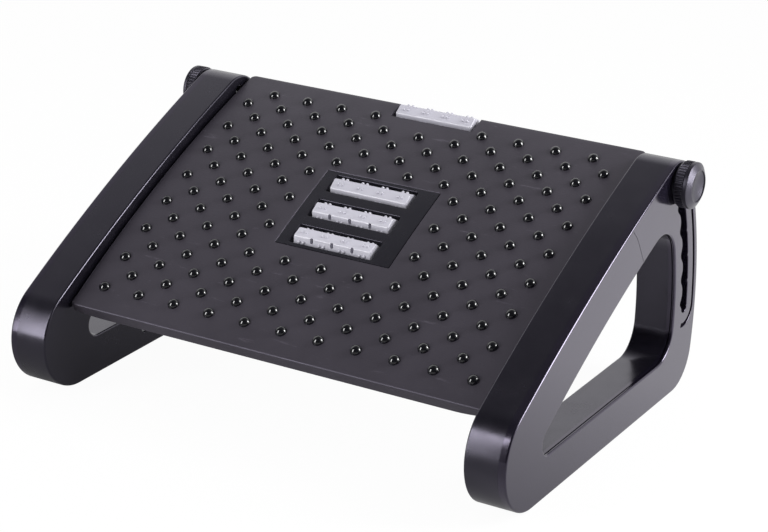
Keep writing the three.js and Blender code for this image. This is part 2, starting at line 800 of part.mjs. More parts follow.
function sideFrame(side, word) {
  const group = new THREE.Group();
  group.add(piece(`frame_shell_${word}`, frameShell(side), blackPlastic));
  group.add(piece(`frame_cover_${word}`, frameCover(side), coverPlastic));
  screwPlaces.forEach((place, i) => {
    group.add(piece(`cover_screw_${word}_${i + 1}`, coverScrew(side, place), steel));
  });
  ['front', 'rear'].forEach((end, i) => {
    group.add(piece(`foot_pad_${word}_${end}`, footPad(side, padFronts[i]), rubber));
  });
  group.add(piece(`pivot_pin_${word}`, pivotPin(side), steel));
  return group;
}

function clamp(side, word) {
  return [
    piece(`knob_${word}`, knob(side), blackPlastic, studLocal),
    piece(`knob_stud_${word}`, knobStud(side), steel, studLocal),
    piece(`knob_washer_${word}`, knobWasher(side), steel, studLocal),
    piece(`captive_nut_${word}`, captiveNut(side), steel, studLocal),
  ];
}

function footPlate() {
  const group = new THREE.Group();
  group.position.set(0, pivot[0], pivot[1]);
  group.rotation.x = plateTilt;
  group.add(piece('platform', platform(), blackPlastic));
  group.add(piece('roller_panel', rollerPanel(), panelPlastic));
  const rollerSolid = roller();
  const pinSolid = rollerPin();
  const places = [...windowMiddles.map((y, i) => [`${i + 1}`, y, -windowShift]), ['rear', rearRollerY, 0]];
  places.forEach(([word, y, across]) => {
    group.add(piece(`roller_${word}`, rollerSolid, whitePlastic, axisOf(y), across));
    group.add(piece(`roller_pin_${word}`, pinSolid, steel, axisOf(y), across));
  });
  group.add(...clamp(1, 'right'), ...clamp(-1, 'left'));
  return group;
}

const assembly = new THREE.Group();
assembly.add(sideFrame(1, 'right'), sideFrame(-1, 'left'), footPlate());
assembly.position.y = (frontRadius - rearReach) / 2;

const footrest = new THREE.Group();
footrest.add(assembly);

export default footrest;
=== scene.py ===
"""Looks of a tilting footrest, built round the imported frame.

Lengths are millimetres until a mesh is made. The side frames and the plate are drawn from the front pivot:
y runs back from its axis, and z up from the floor, or for the plate from the axis.
"""
import math

import bmesh
import bpy
from mathutils import Matrix, Vector
from mathutils.geometry import tessellate_polygon


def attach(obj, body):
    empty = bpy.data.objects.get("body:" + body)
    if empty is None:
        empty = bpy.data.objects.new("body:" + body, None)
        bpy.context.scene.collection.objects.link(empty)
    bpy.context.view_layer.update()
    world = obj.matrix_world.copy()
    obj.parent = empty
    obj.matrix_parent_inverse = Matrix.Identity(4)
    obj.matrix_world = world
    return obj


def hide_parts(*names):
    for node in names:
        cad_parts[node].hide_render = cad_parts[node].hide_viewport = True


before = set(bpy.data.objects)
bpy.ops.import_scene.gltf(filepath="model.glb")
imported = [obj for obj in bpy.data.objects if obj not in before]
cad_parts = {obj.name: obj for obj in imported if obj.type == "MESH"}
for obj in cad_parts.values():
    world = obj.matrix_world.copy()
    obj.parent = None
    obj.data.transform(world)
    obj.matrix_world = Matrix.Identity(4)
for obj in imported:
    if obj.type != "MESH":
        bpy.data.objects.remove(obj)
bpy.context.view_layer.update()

MM = 0.001
DEGREE = math.pi / 180
CLEARANCE = 0.3
SIDES = ((1, "right"), (-1, "left"))

# Side frame
OUTER_FACE = 240
INNER_FACE = 203
PARTING = 233
COVER_SEAT = 233.3
LAP = 0.12  # shell and cover each reach this far into the gap between them
FOOT_PROUD = 1
PIVOT = (0, 79)
FRONT_RADIUS = 46.6
HEEL_RADIUS = 36
TOP_RADIUS = 31
REAR_REACH = 301.5
CROWN_RADIUS = 1785
CROWN_FRONT_ANGLE = 120.5 * DEGREE
BAND_FRONT, BAND_REAR = 47, 44.3
BAND_FRONT_ANGLE, BAND_REAR_ANGLE = 119.2 * DEGREE, 113 * DEGREE
HOLE_CROWN_RADIUS = 1250
HOLE_FLOOR = 37.4
HOLE_REACH = 256.5
HOLE_TIP_RADIUS, HOLE_TOP_RADIUS, HOLE_HEEL_RADIUS = 11.4, 28, 28
SLOT_REACH, SLOT_HALF = 277, 5.25
NOTCHES, NOTCH_STEP, LOWEST_NOTCH = 6, 5 * DEGREE, 0.3 * DEGREE
NOTCH_DEPTH = 3.6
SLOT_BOTTOM = LOWEST_NOTCH - 0.9 * DEGREE
HIGHEST_NOTCH = LOWEST_NOTCH + (NOTCHES - 1) * NOTCH_STEP
SLOT_TOP = HIGHEST_NOTCH + 1.2 * DEGREE
CUSP_LAG, CUSP_HALF, CUSP_HEIGHT = 1.05 * DEGREE, 0.42 * DEGREE, 1.3
GROOVE_OFFSET, GROOVE_HALF, GROOVE_HOOK, GROOVE_DEPTH = 16.9, 1.8, 105 * DEGREE, 5
REVEAL_START, REVEAL_RUN, REVEAL_DEPTH = 5, 3, 1.6
SEAM_PATH = [(163.1, 180.9), (165.2, 178.8), (169.4, 174.6), (173, 170.1), (175.9, 165.4), (178.8, 160.4),
             (182.2, 154.6), (186.3, 147.7)]
SEAM_HALF, SEAM_DEPTH = 0.25, 0.4
SHIFT = (FRONT_RADIUS - REAR_REACH) / 2  # from the pivot's axis to the middle of the frame's length

# Pivot pins, screws and pads of the side frames
PIN_RADIUS, PIN_START, PIN_END, PIN_CHAMFER = 4, 181.8, 219.7, 0.6
PIN_BORE, PIN_BORE_DEPTH = 4.3, 17
SCREW_BORE, SCREW_BORE_DEPTH, SCREW_SINK = 3.7, 2.2, 0.4
PAD_LENGTH, PAD_WIDTH, PAD_MIDDLE, PAD_CORNER, PAD_SETBACK = 46, 20, 216, 5, 8

# Foot plate: y along the chord of its top, before the tilt
PLATE_HALF = 201.5
PLATE_FRONT, PLATE_REAR = -10.2, 299.8
PLATE_CROWN = 9.2
PLATE_TILT = 25.43 * DEGREE
PLATE_SKIN = 3
PLATE_WALL = 3
PLATE_RIB = 2.4
PLATE_EDGE, PLATE_CORNER = 1.6, 5.5
SKIRT_DEPTH, SKIRT_RUN = 18.25, 40
PIVOT_DROP = 6.05
LIP, LIP_END, LIP_TAPER, NOSE_DEPTH, NOSE_RUN = 11, 7.5, 30, 13.25, 14
POCKET_SETBACK, POCKET_COLUMNS = 17, 2
BUMP_RADIUS, BUMP_HEIGHT, BUMP_PITCH, BUMP_ROW_PITCH, BUMP_ROWS, BUMP_MARGIN = 5, 4.5, 36, 17.45, 16, 1.5

# Roller panel and rollers
WINDOW_LENGTH, WINDOW_DEPTH, WINDOW_PITCH, WINDOW_SHIFT = 82, 21.4, 32.2, 4
PANEL_HALF = 56.4
PANEL_MARGIN = 4.2
CRADLE_WALL, CRADLE_DEPTH = 1.2, 13
LEDGE = PANEL_MARGIN - CRADLE_WALL - CLEARANCE
PANEL_FRONT = PLATE_FRONT + 111.4
PANEL_REAR = PANEL_FRONT + 2 * WINDOW_PITCH + WINDOW_DEPTH + 2 * PANEL_MARGIN
PANEL_FLANGE = 2.5
ROLLER_LENGTH, ROLLER_RADIUS, ROLLER_APOTHEM, ROLLER_CORNER, ROLLER_BORE = 76, 9.6, 8.8, 1.9, 2.4
AXIS_DROP = 6.05
REAR_ROLLER_Y = PLATE_REAR - 8.7
AXLE_RADIUS, AXLE_REACH = 2, WINDOW_LENGTH / 2 + 3.6
AXLE_SEAT_RADIUS, AXLE_SEAT_REACH = 2.3, WINDOW_LENGTH / 2 + 3.9
GROUP_PITCH, PAIR_HALF = 20, 2.2
NUB_RADIUS, NUB_HEIGHT = 1.45, 1.5
CLEFT_HALF_LENGTH, CLEFT_RADIUS, CLEFT_DEPTH = 2.5, 1.5, 6.2
CLEFT_LAG = 12 * DEGREE  # how far past its ridge a cleft lies
ROLLER_TURNS = {"1": 14, "2": 8, "3": 0, "rear": 10}  # degrees, as the rollers rest in the photograph
END_FOR_END = ("1", "rear")

# Knob, stud, washer and nut
KNOB_RADIUS, KNOB_GRIP, KNOB_COLLAR, KNOB_BEVEL = 20, 8.6, 3.4, 3.1
KNOB_STAND = 2.2
DISH_RADIUS, DISH_DEPTH = 13.3, 3.0
RIBS, RIB_DEPTH = 40, 1.0
STUD_RADIUS, STUD_BORE, THREAD_PITCH, THREAD_DEPTH = 4, 4.3, 1.25, 0.6
WASHER_RADIUS, WASHER_THICKNESS, WASHER_CHAMFER = 12, 1.6, 0.3
NUT_RADIUS, NUT_LENGTH, NUT_DEPTH = 7.5, 6.5, 22


def polar(centre, radius, angle):
    return centre[0] + radius * math.cos(angle), centre[1] + radius * math.sin(angle)


def heading(start, end):
    return math.atan2(end[1] - start[1], end[0] - start[0])


def arc(centre, radius, start, end, count):
    return [polar(centre, radius, start + (end - start) * i / count) for i in range(count + 1)]


def meet(a, radius_a, b, radius_b):
    """Where two circles cross, to the left of the line from the first centre to the second."""
    span = math.dist(a, b)
    along = (span * span + radius_a ** 2 - radius_b ** 2) / (2 * span)
    return polar(a, radius_a, heading(a, b) + math.acos(along / radius_a))


def arc_loop(arcs, inset):
    points = []
    for centre, radius, start, end, count in arcs:
        points += arc(centre, radius - inset, start, end, count)[:-1]
    centre, radius, _, end, _ = arcs[-1]
    return points + [polar(centre, radius - inset, end)]


def frame_arcs():
    front = (0, FOOT_PROUD + FRONT_RADIUS)
    crown = polar(front, CROWN_RADIUS - FRONT_RADIUS, CROWN_FRONT_ANGLE + math.pi)
    rise = FOOT_PROUD + HEEL_RADIUS - PIVOT[1]
    heel = (math.sqrt((REAR_REACH - HEEL_RADIUS) ** 2 - rise ** 2), FOOT_PROUD + HEEL_RADIUS)
    top = meet(PIVOT, REAR_REACH - TOP_RADIUS, crown, CROWN_RADIUS - TOP_RADIUS)
    return [
        (heel, HEEL_RADIUS, -math.pi / 2, heading(PIVOT, heel), 24),
        (PIVOT, REAR_REACH, heading(PIVOT, heel), heading(PIVOT, top), 48),
        (top, TOP_RADIUS, heading(PIVOT, top), heading(crown, top), 28),
        (crown, CROWN_RADIUS, heading(crown, top), CROWN_FRONT_ANGLE, 60),
        (front, FRONT_RADIUS, CROWN_FRONT_ANGLE, 1.5 * math.pi, 56),
    ], crown


FRAME_ARCS, CROWN_CENTRE = frame_arcs()


def hole_arcs():
    start = polar(CROWN_CENTRE, CROWN_RADIUS - BAND_FRONT, BAND_FRONT_ANGLE)
    end = polar(CROWN_CENTRE, CROWN_RADIUS - BAND_REAR, BAND_REAR_ANGLE)
    crown = meet(end, HOLE_CROWN_RADIUS, start, HOLE_CROWN_RADIUS)
    rise = HOLE_FLOOR + HOLE_TIP_RADIUS - crown[1]
    tip = (crown[0] - math.sqrt((HOLE_CROWN_RADIUS - HOLE_TIP_RADIUS) ** 2 - rise ** 2), HOLE_FLOOR + HOLE_TIP_RADIUS)
    rise = HOLE_FLOOR + HOLE_HEEL_RADIUS - PIVOT[1]
    heel = (math.sqrt((HOLE_REACH - HOLE_HEEL_RADIUS) ** 2 - rise ** 2), HOLE_FLOOR + HOLE_HEEL_RADIUS)
    top = meet(PIVOT, HOLE_REACH - HOLE_TOP_RADIUS, crown, HOLE_CROWN_RADIUS - HOLE_TOP_RADIUS)
    return [
        (heel, HOLE_HEEL_RADIUS, -math.pi / 2, heading(PIVOT, heel), 22),
        (PIVOT, HOLE_REACH, heading(PIVOT, heel), heading(PIVOT, top), 30),
        (top, HOLE_TOP_RADIUS, heading(PIVOT, top), heading(crown, top), 26),
        (crown, HOLE_CROWN_RADIUS, heading(crown, top), heading(crown, tip), 46),
        (tip, HOLE_TIP_RADIUS, heading(crown, tip), 1.5 * math.pi, 24),
    ]


HOLE_ARCS = hole_arcs()


def offset(points, distance):
    """The closed outline moved outwards by a distance, for an outline that runs anticlockwise."""
    moved = []
    for i, point in enumerate(points):
        before, after = points[i - 1], points[(i + 1) % len(points)]
        along = Vector((after[0] - before[0], after[1] - before[1])).normalized()
        moved.append((point[0] + along.y * distance, point[1] - along.x * distance))
    return moved


def slot_outline():
    def scoop(angle):
        wave = 0.5 + 0.5 * math.cos(2 * math.pi * (angle - LOWEST_NOTCH) / NOTCH_STEP)
        return NOTCH_DEPTH * wave ** 1.5

    def cusp(angle):
        nearest = round((angle - LOWEST_NOTCH + CUSP_LAG) / NOTCH_STEP) * NOTCH_STEP + LOWEST_NOTCH - CUSP_LAG
        return CUSP_HEIGHT * max(0, 1 - abs(angle - nearest) / CUSP_HALF) ** 0.8

    count = 150
    rear = []
    for i in range(count + 1):
        angle = SLOT_BOTTOM + (SLOT_TOP - SLOT_BOTTOM) * i / count
        rear.append(polar(PIVOT, SLOT_REACH + SLOT_HALF - cusp(angle), angle))
    head = arc(polar(PIVOT, SLOT_REACH, SLOT_TOP), SLOT_HALF, SLOT_TOP, SLOT_TOP + math.pi, 18)
    front = []
    for i in range(count + 1):
        angle = HIGHEST_NOTCH - (HIGHEST_NOTCH - LOWEST_NOTCH) * i / count
        front.append(polar(PIVOT, SLOT_REACH - SLOT_HALF - scoop(angle), angle))
    foot = arc(polar(PIVOT, SLOT_REACH, SLOT_BOTTOM), SLOT_HALF, SLOT_BOTTOM + math.pi, SLOT_BOTTOM + 2 * math.pi, 18)
    return rear + head[1:] + front + foot[:-1]


SLOT = slot_outline()


def groove_outline():
    hook = polar(PIVOT, SLOT_REACH, SLOT_BOTTOM)

    def side(shift):
        rear = arc(PIVOT, SLOT_REACH + GROOVE_OFFSET + shift, HIGHEST_NOTCH, SLOT_BOTTOM, 60)
        return rear + arc(hook, GROOVE_OFFSET + shift, SLOT_BOTTOM, SLOT_BOTTOM - GROOVE_HOOK, 30)[1:]

    return side(GROOVE_HALF)[::-1] + side(-GROOVE_HALF)


def circle(centre, radius):
    return arc(centre, radius, 0, 2 * math.pi, 32)[:-1]


FRAME_OUTLINE = lambda inset: arc_loop(FRAME_ARCS, inset)
HOLE_OUTLINE = lambda inset: arc_loop(HOLE_ARCS, -inset)
SLOT_OUTLINE = lambda inset: offset(SLOT, inset)


def fading_hole(inset):
    """The hole's outline moved by an inset that fades out towards the tip."""
    plain, moved = HOLE_OUTLINE(0), HOLE_OUTLINE(inset)
    start = min(y for y, _ in plain) + REVEAL_START
    shares = [min(1, max(0, (y - start) / REVEAL_RUN)) for y, _ in plain]
    return [(a[0] + (b[0] - a[0]) * s, a[1] + (b[1] - a[1]) * s) for a, b, s in zip(plain, moved, shares)]


def seam_outline(inset):
    """The thin seam across the cover's top corner, as a band along its path."""
    sides = ([], [])
    for i, (y, z) in enumerate(SEAM_PATH):
        a, b = SEAM_PATH[max(i - 1, 0)], SEAM_PATH[min(i + 1, len(SEAM_PATH) - 1)]
        run = math.hypot(b[0] - a[0], b[1] - a[1])
        across = (-(b[1] - a[1]) / run * (SEAM_HALF - inset), (b[0] - a[0]) / run * (SEAM_HALF - inset))
        sides[0].append((y + across[0], z + across[1]))
        sides[1].append((y - across[0], z - across[1]))
    return sides[0] + sides[1][::-1]


GROOVE = groove_outline()
GROOVE_OUTLINE = lambda inset: offset(GROOVE, inset)


class Skin:
    """Points and faces of one closed mesh, in millimetres."""

    def __init__(self):
        self.points, self.faces = [], []

    def ring(self, points):
        start = len(self.points)
        self.points += [tuple(p) for p in points]
        return list(range(start, len(self.points)))

    def bridge(self, a, b):
        for i in range(len(a)):
            j = (i + 1) % len(a)
            self.faces.append((a[i], a[j], b[j], b[i]))

    def loft(self, rings):
        for a, b in zip(rings, rings[1:]):
            self.bridge(a, b)

    def solid(self, rings):
        """Rings joined in order, with a face over each end."""
        self.loft(rings)
        self.faces += [tuple(rings[0]), tuple(rings[-1])]

    def cap(self, *rings):
        """Fills rings that lie in a plane of constant x; the first is outermost, the others are holes."""
        order = [i for ring in rings for i in ring]
        loops = [[Vector((self.points[i][1], self.points[i][2], 0)) for i in ring] for ring in rings]
        self.faces += [tuple(order[k] for k in triangle) for triangle in tessellate_polygon(loops)]

    def walls(self, outline, stations, side=1):
        """Rings of an outline at each (x, inset), bridged; a station may name its own outline."""
        rings = [self.ring([(side * x, y, z) for y, z in (other[0] if other else outline)(inset)])
                 for x, inset, *other in stations]
        self.loft(rings)
        return rings[0], rings[-1]

    def turn(self, profile, centre, count, side=1, shape=None):
        """A turned body on an axis along x: the profile lists (x, radius), ending on the axis or in a bore."""
        rings = []
        for x, radius in profile:
            if radius == 0:
                rings.append(self.ring([(side * x, *centre)]))
            else:
                rings.append(self.ring([(side * x, *polar(centre, radius + (shape(x, a) if shape else 0), a))
                                        for a in (2 * math.pi * i / count for i in range(count))]))
        for a, b in zip(rings, rings[1:]):
            if len(a) == 1 or len(b) == 1:
                tip, ring = (a[0], b) if len(a) == 1 else (b[0], a)
                self.faces += [(tip, ring[i], ring[(i + 1) % len(ring)]) for i in range(len(ring))]
            else:
                self.bridge(a, b)
        return rings


def rod(start, end, radius, chamfer=0):
    """The profile of a round rod, for Skin.turn."""
    profile = [(start, 0), (start, radius - chamfer), (end, radius - chamfer), (end, 0)]
    if chamfer:
        profile[2:2] = [(start + chamfer, radius), (end - chamfer, radius)]
    return profile


def fillet(edge, inward, radius, steps=4):
    """Stations of a rounded edge from the cap at x = edge, where the inset is largest, to the side."""
    turns = [math.pi / 2 * i / steps for i in range(steps + 1)]
    return [(edge + inward * radius * (1 - math.cos(t)), radius * (1 - math.sin(t))) for t in turns]


def to_frame(point):
    return Vector((point[0], point[1] + SHIFT, point[2])) * MM


TILT = Matrix.Translation((0, PIVOT[0], PIVOT[1])) @ Matrix.Rotation(PLATE_TILT, 4, "X")


def mesh_of(name, skin, tilted=False):
    mesh = bpy.data.meshes.new(name)
    points = [TILT @ Vector(p) for p in skin.points] if tilted else skin.points
    mesh.from_pydata([to_frame(p) for p in points], [], skin.faces)
    return tidy(mesh)


def local_mesh(skin):
    """A mesh about its own origin, to be placed later."""
    mesh = bpy.data.meshes.new("local")
    mesh.from_pydata([Vector(p) * MM for p in skin.points], [], skin.faces)
    return tidy(mesh)


def tidy(mesh, sharp=38):
    """Welds the mesh, turns its faces outwards and shades it smooth up to an angle in degrees."""
    work = bmesh.new()
    work.from_mesh(mesh)
    bmesh.ops.remove_doubles(work, verts=work.verts, dist=1e-7)
    bmesh.ops.recalc_face_normals(work, faces=work.faces)
    work.to_mesh(mesh)
    work.free()
    mesh.polygons.foreach_set("use_smooth", [True] * len(mesh.polygons))
    mesh.set_sharp_from_angle(angle=sharp * DEGREE)
    mesh.update()
    return mesh


def place(name, mesh, material, body, slot, *nodes, weighted=True):
    """A piece of the object: it rides on a body and stands for the CAD nodes."""
    piece = bpy.data.objects.new(name, mesh)
    bpy.context.scene.collection.objects.link(piece)
    piece.data.materials.clear()
    piece.data.materials.append(material)
    if weighted:
        normals = piece.modifiers.new("normals", "WEIGHTED_NORMAL")
        normals.keep_sharp = True
        normals.weight = 80
    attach(piece, body)
    if nodes:
        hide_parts(*nodes)
    return piece


def cut(name, base, *cutters, operation="DIFFERENCE", sharp=38):
    """The base mesh after the cutters are taken away from it or added to it."""
    holder = bpy.data.objects.new(name, base)
    bpy.context.scene.collection.objects.link(holder)
    tools = []
    for i, cutter in enumerate(cutters):
        tool = bpy.data.objects.new(f"{name}_tool_{i}", cutter)
        bpy.context.scene.collection.objects.link(tool)
        modifier = holder.modifiers.new("cut", "BOOLEAN")
        modifier.operation, modifier.solver, modifier.object = operation, "MANIFOLD", tool
        tools.append(tool)
    bpy.context.view_layer.update()
    graph = bpy.context.evaluated_depsgraph_get()
    result = bpy.data.meshes.new_from_object(holder.evaluated_get(graph), depsgraph=graph)
    result.name = name
    for thing in [holder, *tools]:
        bpy.data.objects.remove(thing)
    result = tidy(result, sharp)
    uses = {}
    for face in result.polygons:
        for edge in face.edge_keys:
            uses[edge] = uses.get(edge, 0) + 1
    if set(uses.values()) != {2}:
        raise RuntimeError(f"{name} is not one closed skin after the cut")
    return result


# Materials


def node(tree, kind, inputs=None, **settings):
    made = tree.nodes.new(kind)
    for name, value in settings.items():
        setattr(made, name, value)
    for name, value in (inputs or {}).items():
        if isinstance(value, bpy.types.NodeSocket):
            tree.links.new(value, made.inputs[name])
        else:
            made.inputs[name].default_value = value
    return made


def noise(tree, scale, detail=3, roughness=0.55, stretch=(1, 1, 1)):
    place_node = node(tree, "ShaderNodeTexCoord")
    mapping = node(tree, "ShaderNodeMapping", {"Vector": place_node.outputs["Object"], "Scale": stretch})
    return node(tree, "ShaderNodeTexNoise", {
        "Vector": mapping.outputs["Vector"], "Scale": scale, "Detail": detail, "Roughness": roughness,
    }).outputs["Fac"]


def ramp(tree, value, *stops):
    made = node(tree, "ShaderNodeValToRGB", {"Fac": value})
    while len(made.color_ramp.elements) < len(stops):
        made.color_ramp.elements.new(0.5)
    for element, (position, colour) in zip(made.color_ramp.elements, stops):
        element.position = position
        element.color = colour if len(colour) == 4 else (*colour, 1)
    return made.outputs["Color"]


def spread(tree, value, low, high, start=0.3, end=0.7):
    return node(tree, "ShaderNodeMapRange", {
        "Value": value, "From Min": start, "From Max": end, "To Min": low, "To Max": high,
    }).outputs["Result"]


def shade(colour, factor):
    return tuple(c * factor for c in colour)


def plastic(name, colour, roughness, grain, grain_scale=1400, spec=0.5, drift=0.12, scuffs=0.0, **extra):
    """Moulded plastic: slow drift of colour, fine grain in the relief and roughness, and faint scuffs."""
    material = bpy.data.materials.new(name)
    material.use_nodes = True
    tree = material.node_tree
    shader = tree.nodes["Principled BSDF"]
    slow = noise(tree, 14, 4)
    tone = ramp(tree, slow, (0.3, shade(colour, 1 - drift)), (0.7, shade(colour, 1 + drift)))
    fine = noise(tree, grain_scale, 2, 0.6)
    if scuffs:
        streaks = noise(tree, 90, 6, 0.75, stretch=(0.25, 1, 3))
        worn = ramp(tree, streaks, (0.62, (0, 0, 0)), (0.70, (1, 1, 1)))
        mixed = node(tree, "ShaderNodeMix", {0: 0.0}, data_type="RGBA")
        strength = node(tree, "ShaderNodeMath", {0: worn, 1: scuffs}, operation="MULTIPLY")
        tree.links.new(strength.outputs[0], mixed.inputs[0])
        tree.links.new(tone, mixed.inputs[6])
        mixed.inputs[7].default_value = (*shade(colour, 4.0), 1)
        tone = mixed.outputs[2]
    tree.links.new(tone, shader.inputs["Base Color"])
    tree.links.new(spread(tree, noise(tree, 38, 5), roughness - 0.05, roughness + 0.06), shader.inputs["Roughness"])
    bump = node(tree, "ShaderNodeBump", {"Height": fine, "Strength": grain, "Distance": 0.0002})
    tree.links.new(bump.outputs["Normal"], shader.inputs["Normal"])
    shader.inputs["Specular IOR Level"].default_value = spec
    for key, value in extra.items():
        shader.inputs[key.replace("_", " ")].default_value = value
    return material


def steel(name, colour, roughness):
    """Zinc plated steel with fine streaks along x."""
    material = bpy.data.materials.new(name)
    material.use_nodes = True
    tree = material.node_tree
    shader = tree.nodes["Principled BSDF"]
    brushed = noise(tree, 400, 3, 0.6, stretch=(1, 12, 12))
    tone = ramp(tree, brushed, (0.3, shade(colour, 0.85)), (0.7, shade(colour, 1.08)))
    tree.links.new(tone, shader.inputs["Base Color"])
    tree.links.new(spread(tree, noise(tree, 160, 4), roughness - 0.07, roughness + 0.1), shader.inputs["Roughness"])
    bump = node(tree, "ShaderNodeBump", {"Height": brushed, "Strength": 0.12, "Distance": 0.0001})
    tree.links.new(bump.outputs["Normal"], shader.inputs["Normal"])
    shader.inputs["Metallic"].default_value = 1.0
    return material


SHEEN_TINT = (0.84, 0.79, 1.0, 1)
SHELL_MATERIAL = plastic("shell_plastic", (0.0055, 0.005, 0.008), 0.23, 0.04, spec=0.9, Specular_Tint=SHEEN_TINT)
COVER_MATERIAL = plastic("cover_plastic", (0.0065, 0.0055, 0.0105), 0.14, 0.03, spec=1.0,
                         Specular_Tint=(0.84, 0.76, 1.0, 1))
PLATE_MATERIAL = plastic("plate_plastic", (0.039, 0.035, 0.044), 0.38, 0.4, grain_scale=600, scuffs=0.3,
                         Specular_Tint=SHEEN_TINT)
BUMP_MATERIAL = plastic("bump_plastic", (0.003, 0.003, 0.005), 0.08, 0.02, spec=1.0)
PANEL_MATERIAL = plastic("panel_plastic", (0.009, 0.009, 0.012), 0.24, 0.1, spec=0.5, Specular_Tint=SHEEN_TINT)
KNOB_MATERIAL = plastic("knob_plastic", (0.008, 0.0075, 0.011), 0.34, 0.05, spec=0.7, Specular_Tint=SHEEN_TINT)
ROLLER_MATERIAL = plastic("roller_plastic", (0.53, 0.52, 0.59), 0.2, 0.03, drift=0.04)
PAD_MATERIAL = plastic("pad_rubber", (0.012, 0.012, 0.013), 0.85, 0.4, grain_scale=700)
STEEL_MATERIAL = steel("zinc_steel", (0.62, 0.63, 0.65), 0.30)

# Side frames

SCREW_PLACES = [
    (FRAME_ARCS[0][0][0] * 0.36, HOLE_FLOOR / 2),
    polar(CROWN_CENTRE, CROWN_RADIUS - BAND_FRONT / 2, (BAND_FRONT_ANGLE + BAND_REAR_ANGLE) / 2),
    polar(CROWN_CENTRE, CROWN_RADIUS - BAND_REAR / 2, BAND_REAR_ANGLE - (BAND_FRONT_ANGLE - BAND_REAR_ANGLE) / 6),
    (FRAME_ARCS[0][0][0] + HEEL_RADIUS * 0.3, FRAME_ARCS[0][0][1] - HEEL_RADIUS * 0.28),
]
PAD_FRONTS = [PAD_SETBACK, FRAME_ARCS[0][0][0] - PAD_SETBACK - PAD_LENGTH]


def shell_skin(side):
    """The frame's inner half, with its screw recesses and the pivot pin's bore."""
    skin = Skin()
    edge = fillet(INNER_FACE, 1, 1.7)
    lip = [(PARTING + LAP, 0)]
    outline = skin.walls(FRAME_OUTLINE, edge + lip, side)
    hole = skin.walls(HOLE_OUTLINE, edge + lip, side)
    slot = skin.walls(SLOT_OUTLINE, fillet(INNER_FACE, 1, 0.5, 2) + lip, side)
    recesses = []
    for centre in SCREW_PLACES:
        recess, floor = skin.walls(lambda inset: circle(centre, SCREW_BORE + inset), [
            (INNER_FACE, 0.3), (INNER_FACE + 0.3, 0), (INNER_FACE + SCREW_BORE_DEPTH, 0)], side)
        skin.cap(floor)
        recesses.append(recess)
    bore, end = skin.walls(lambda inset: circle(PIVOT, PIN_BORE + inset), [
        (INNER_FACE, 0.4), (INNER_FACE + 0.4, 0), (INNER_FACE + PIN_BORE_DEPTH, 0)], side)
    skin.cap(end)
    skin.cap(outline[0], hole[0], slot[0], bore, *recesses)
    skin.cap(outline[1], hole[1], slot[1])
    return skin


def cover_skin(side):
    """The frame's outer cover, with the slot, the groove round it, the seam and the hole's reveal."""
    skin = Skin()
    edge = fillet(OUTER_FACE, -1, 1.6, 6)[::-1]
    seat = [(COVER_SEAT - LAP, 0)]
    reveal = [(OUTER_FACE - 3.6, 0), (OUTER_FACE - 3.5, REVEAL_DEPTH, fading_hole),
              (OUTER_FACE - 2.5, REVEAL_DEPTH, fading_hole), (OUTER_FACE - 2.4, 0)]
    outline = skin.walls(FRAME_OUTLINE, seat + edge, side)
    hole = skin.walls(HOLE_OUTLINE, seat + reveal + edge, side)
    slot = skin.walls(SLOT_OUTLINE, seat + fillet(OUTER_FACE, -1, 0.6, 3)[::-1], side)
    groove, floor = skin.walls(
        GROOVE_OUTLINE, fillet(OUTER_FACE, -1, 0.5, 3) + [(OUTER_FACE - GROOVE_DEPTH, 0)], side)
    seam, seam_floor = skin.walls(seam_outline, [(OUTER_FACE, 0), (OUTER_FACE - SEAM_DEPTH, 0.05)], side)
    skin.cap(floor)
    skin.cap(seam_floor)
    skin.cap(outline[0], hole[0], slot[0])
    skin.cap(outline[1], hole[1], slot[1], groove, seam)
    return skin


def screw_mesh():
    """A pan head screw with a cross recess, its head's face at x = 0."""
    skin = Skin()
    skin.turn([(0, 0), (0.0, 1.2), (0.12, 2.2), (0.55, 3.05), (0.9, 3.4), (1.9, 3.4), (1.9, 1.6), (32, 1.6), (32, 0)],
              (0, 0), 28)
    crosses = []
    for turn in (0, 90):
        box = bmesh.new()
        bmesh.ops.create_cube(box, size=1)
        bmesh.ops.scale(box, vec=(2.4 * MM, 3.6 * MM, 0.75 * MM), verts=box.verts)
        bmesh.ops.rotate(box, matrix=Matrix.Rotation(turn * DEGREE, 3, "X"), verts=box.verts)
        cross = bpy.data.meshes.new("screw_cross")
        box.to_mesh(cross)
        box.free()
        crosses.append(cross)
    return cut("screw", local_mesh(skin), *crosses)


def pad_skin(side, front):
    skin = Skin()
    half = PAD_WIDTH / 2

    def outline(inset):
        x, rear = half - PAD_CORNER, PAD_LENGTH - PAD_CORNER
        points = []
        for quarter, centre in enumerate([(x, rear), (-x, rear), (-x, PAD_CORNER), (x, PAD_CORNER)]):
            points += arc(centre, PAD_CORNER - inset, quarter * math.pi / 2, (quarter + 1) * math.pi / 2, 8)
        return points

    levels = [(0, 0.8), (0.12, 0.35), (0.5, 0), (2.7, 0)]
    skin.solid([skin.ring([(side * PAD_MIDDLE + x, front + y, z) for x, y in outline(inset)])
                for z, inset in levels])
    return skin


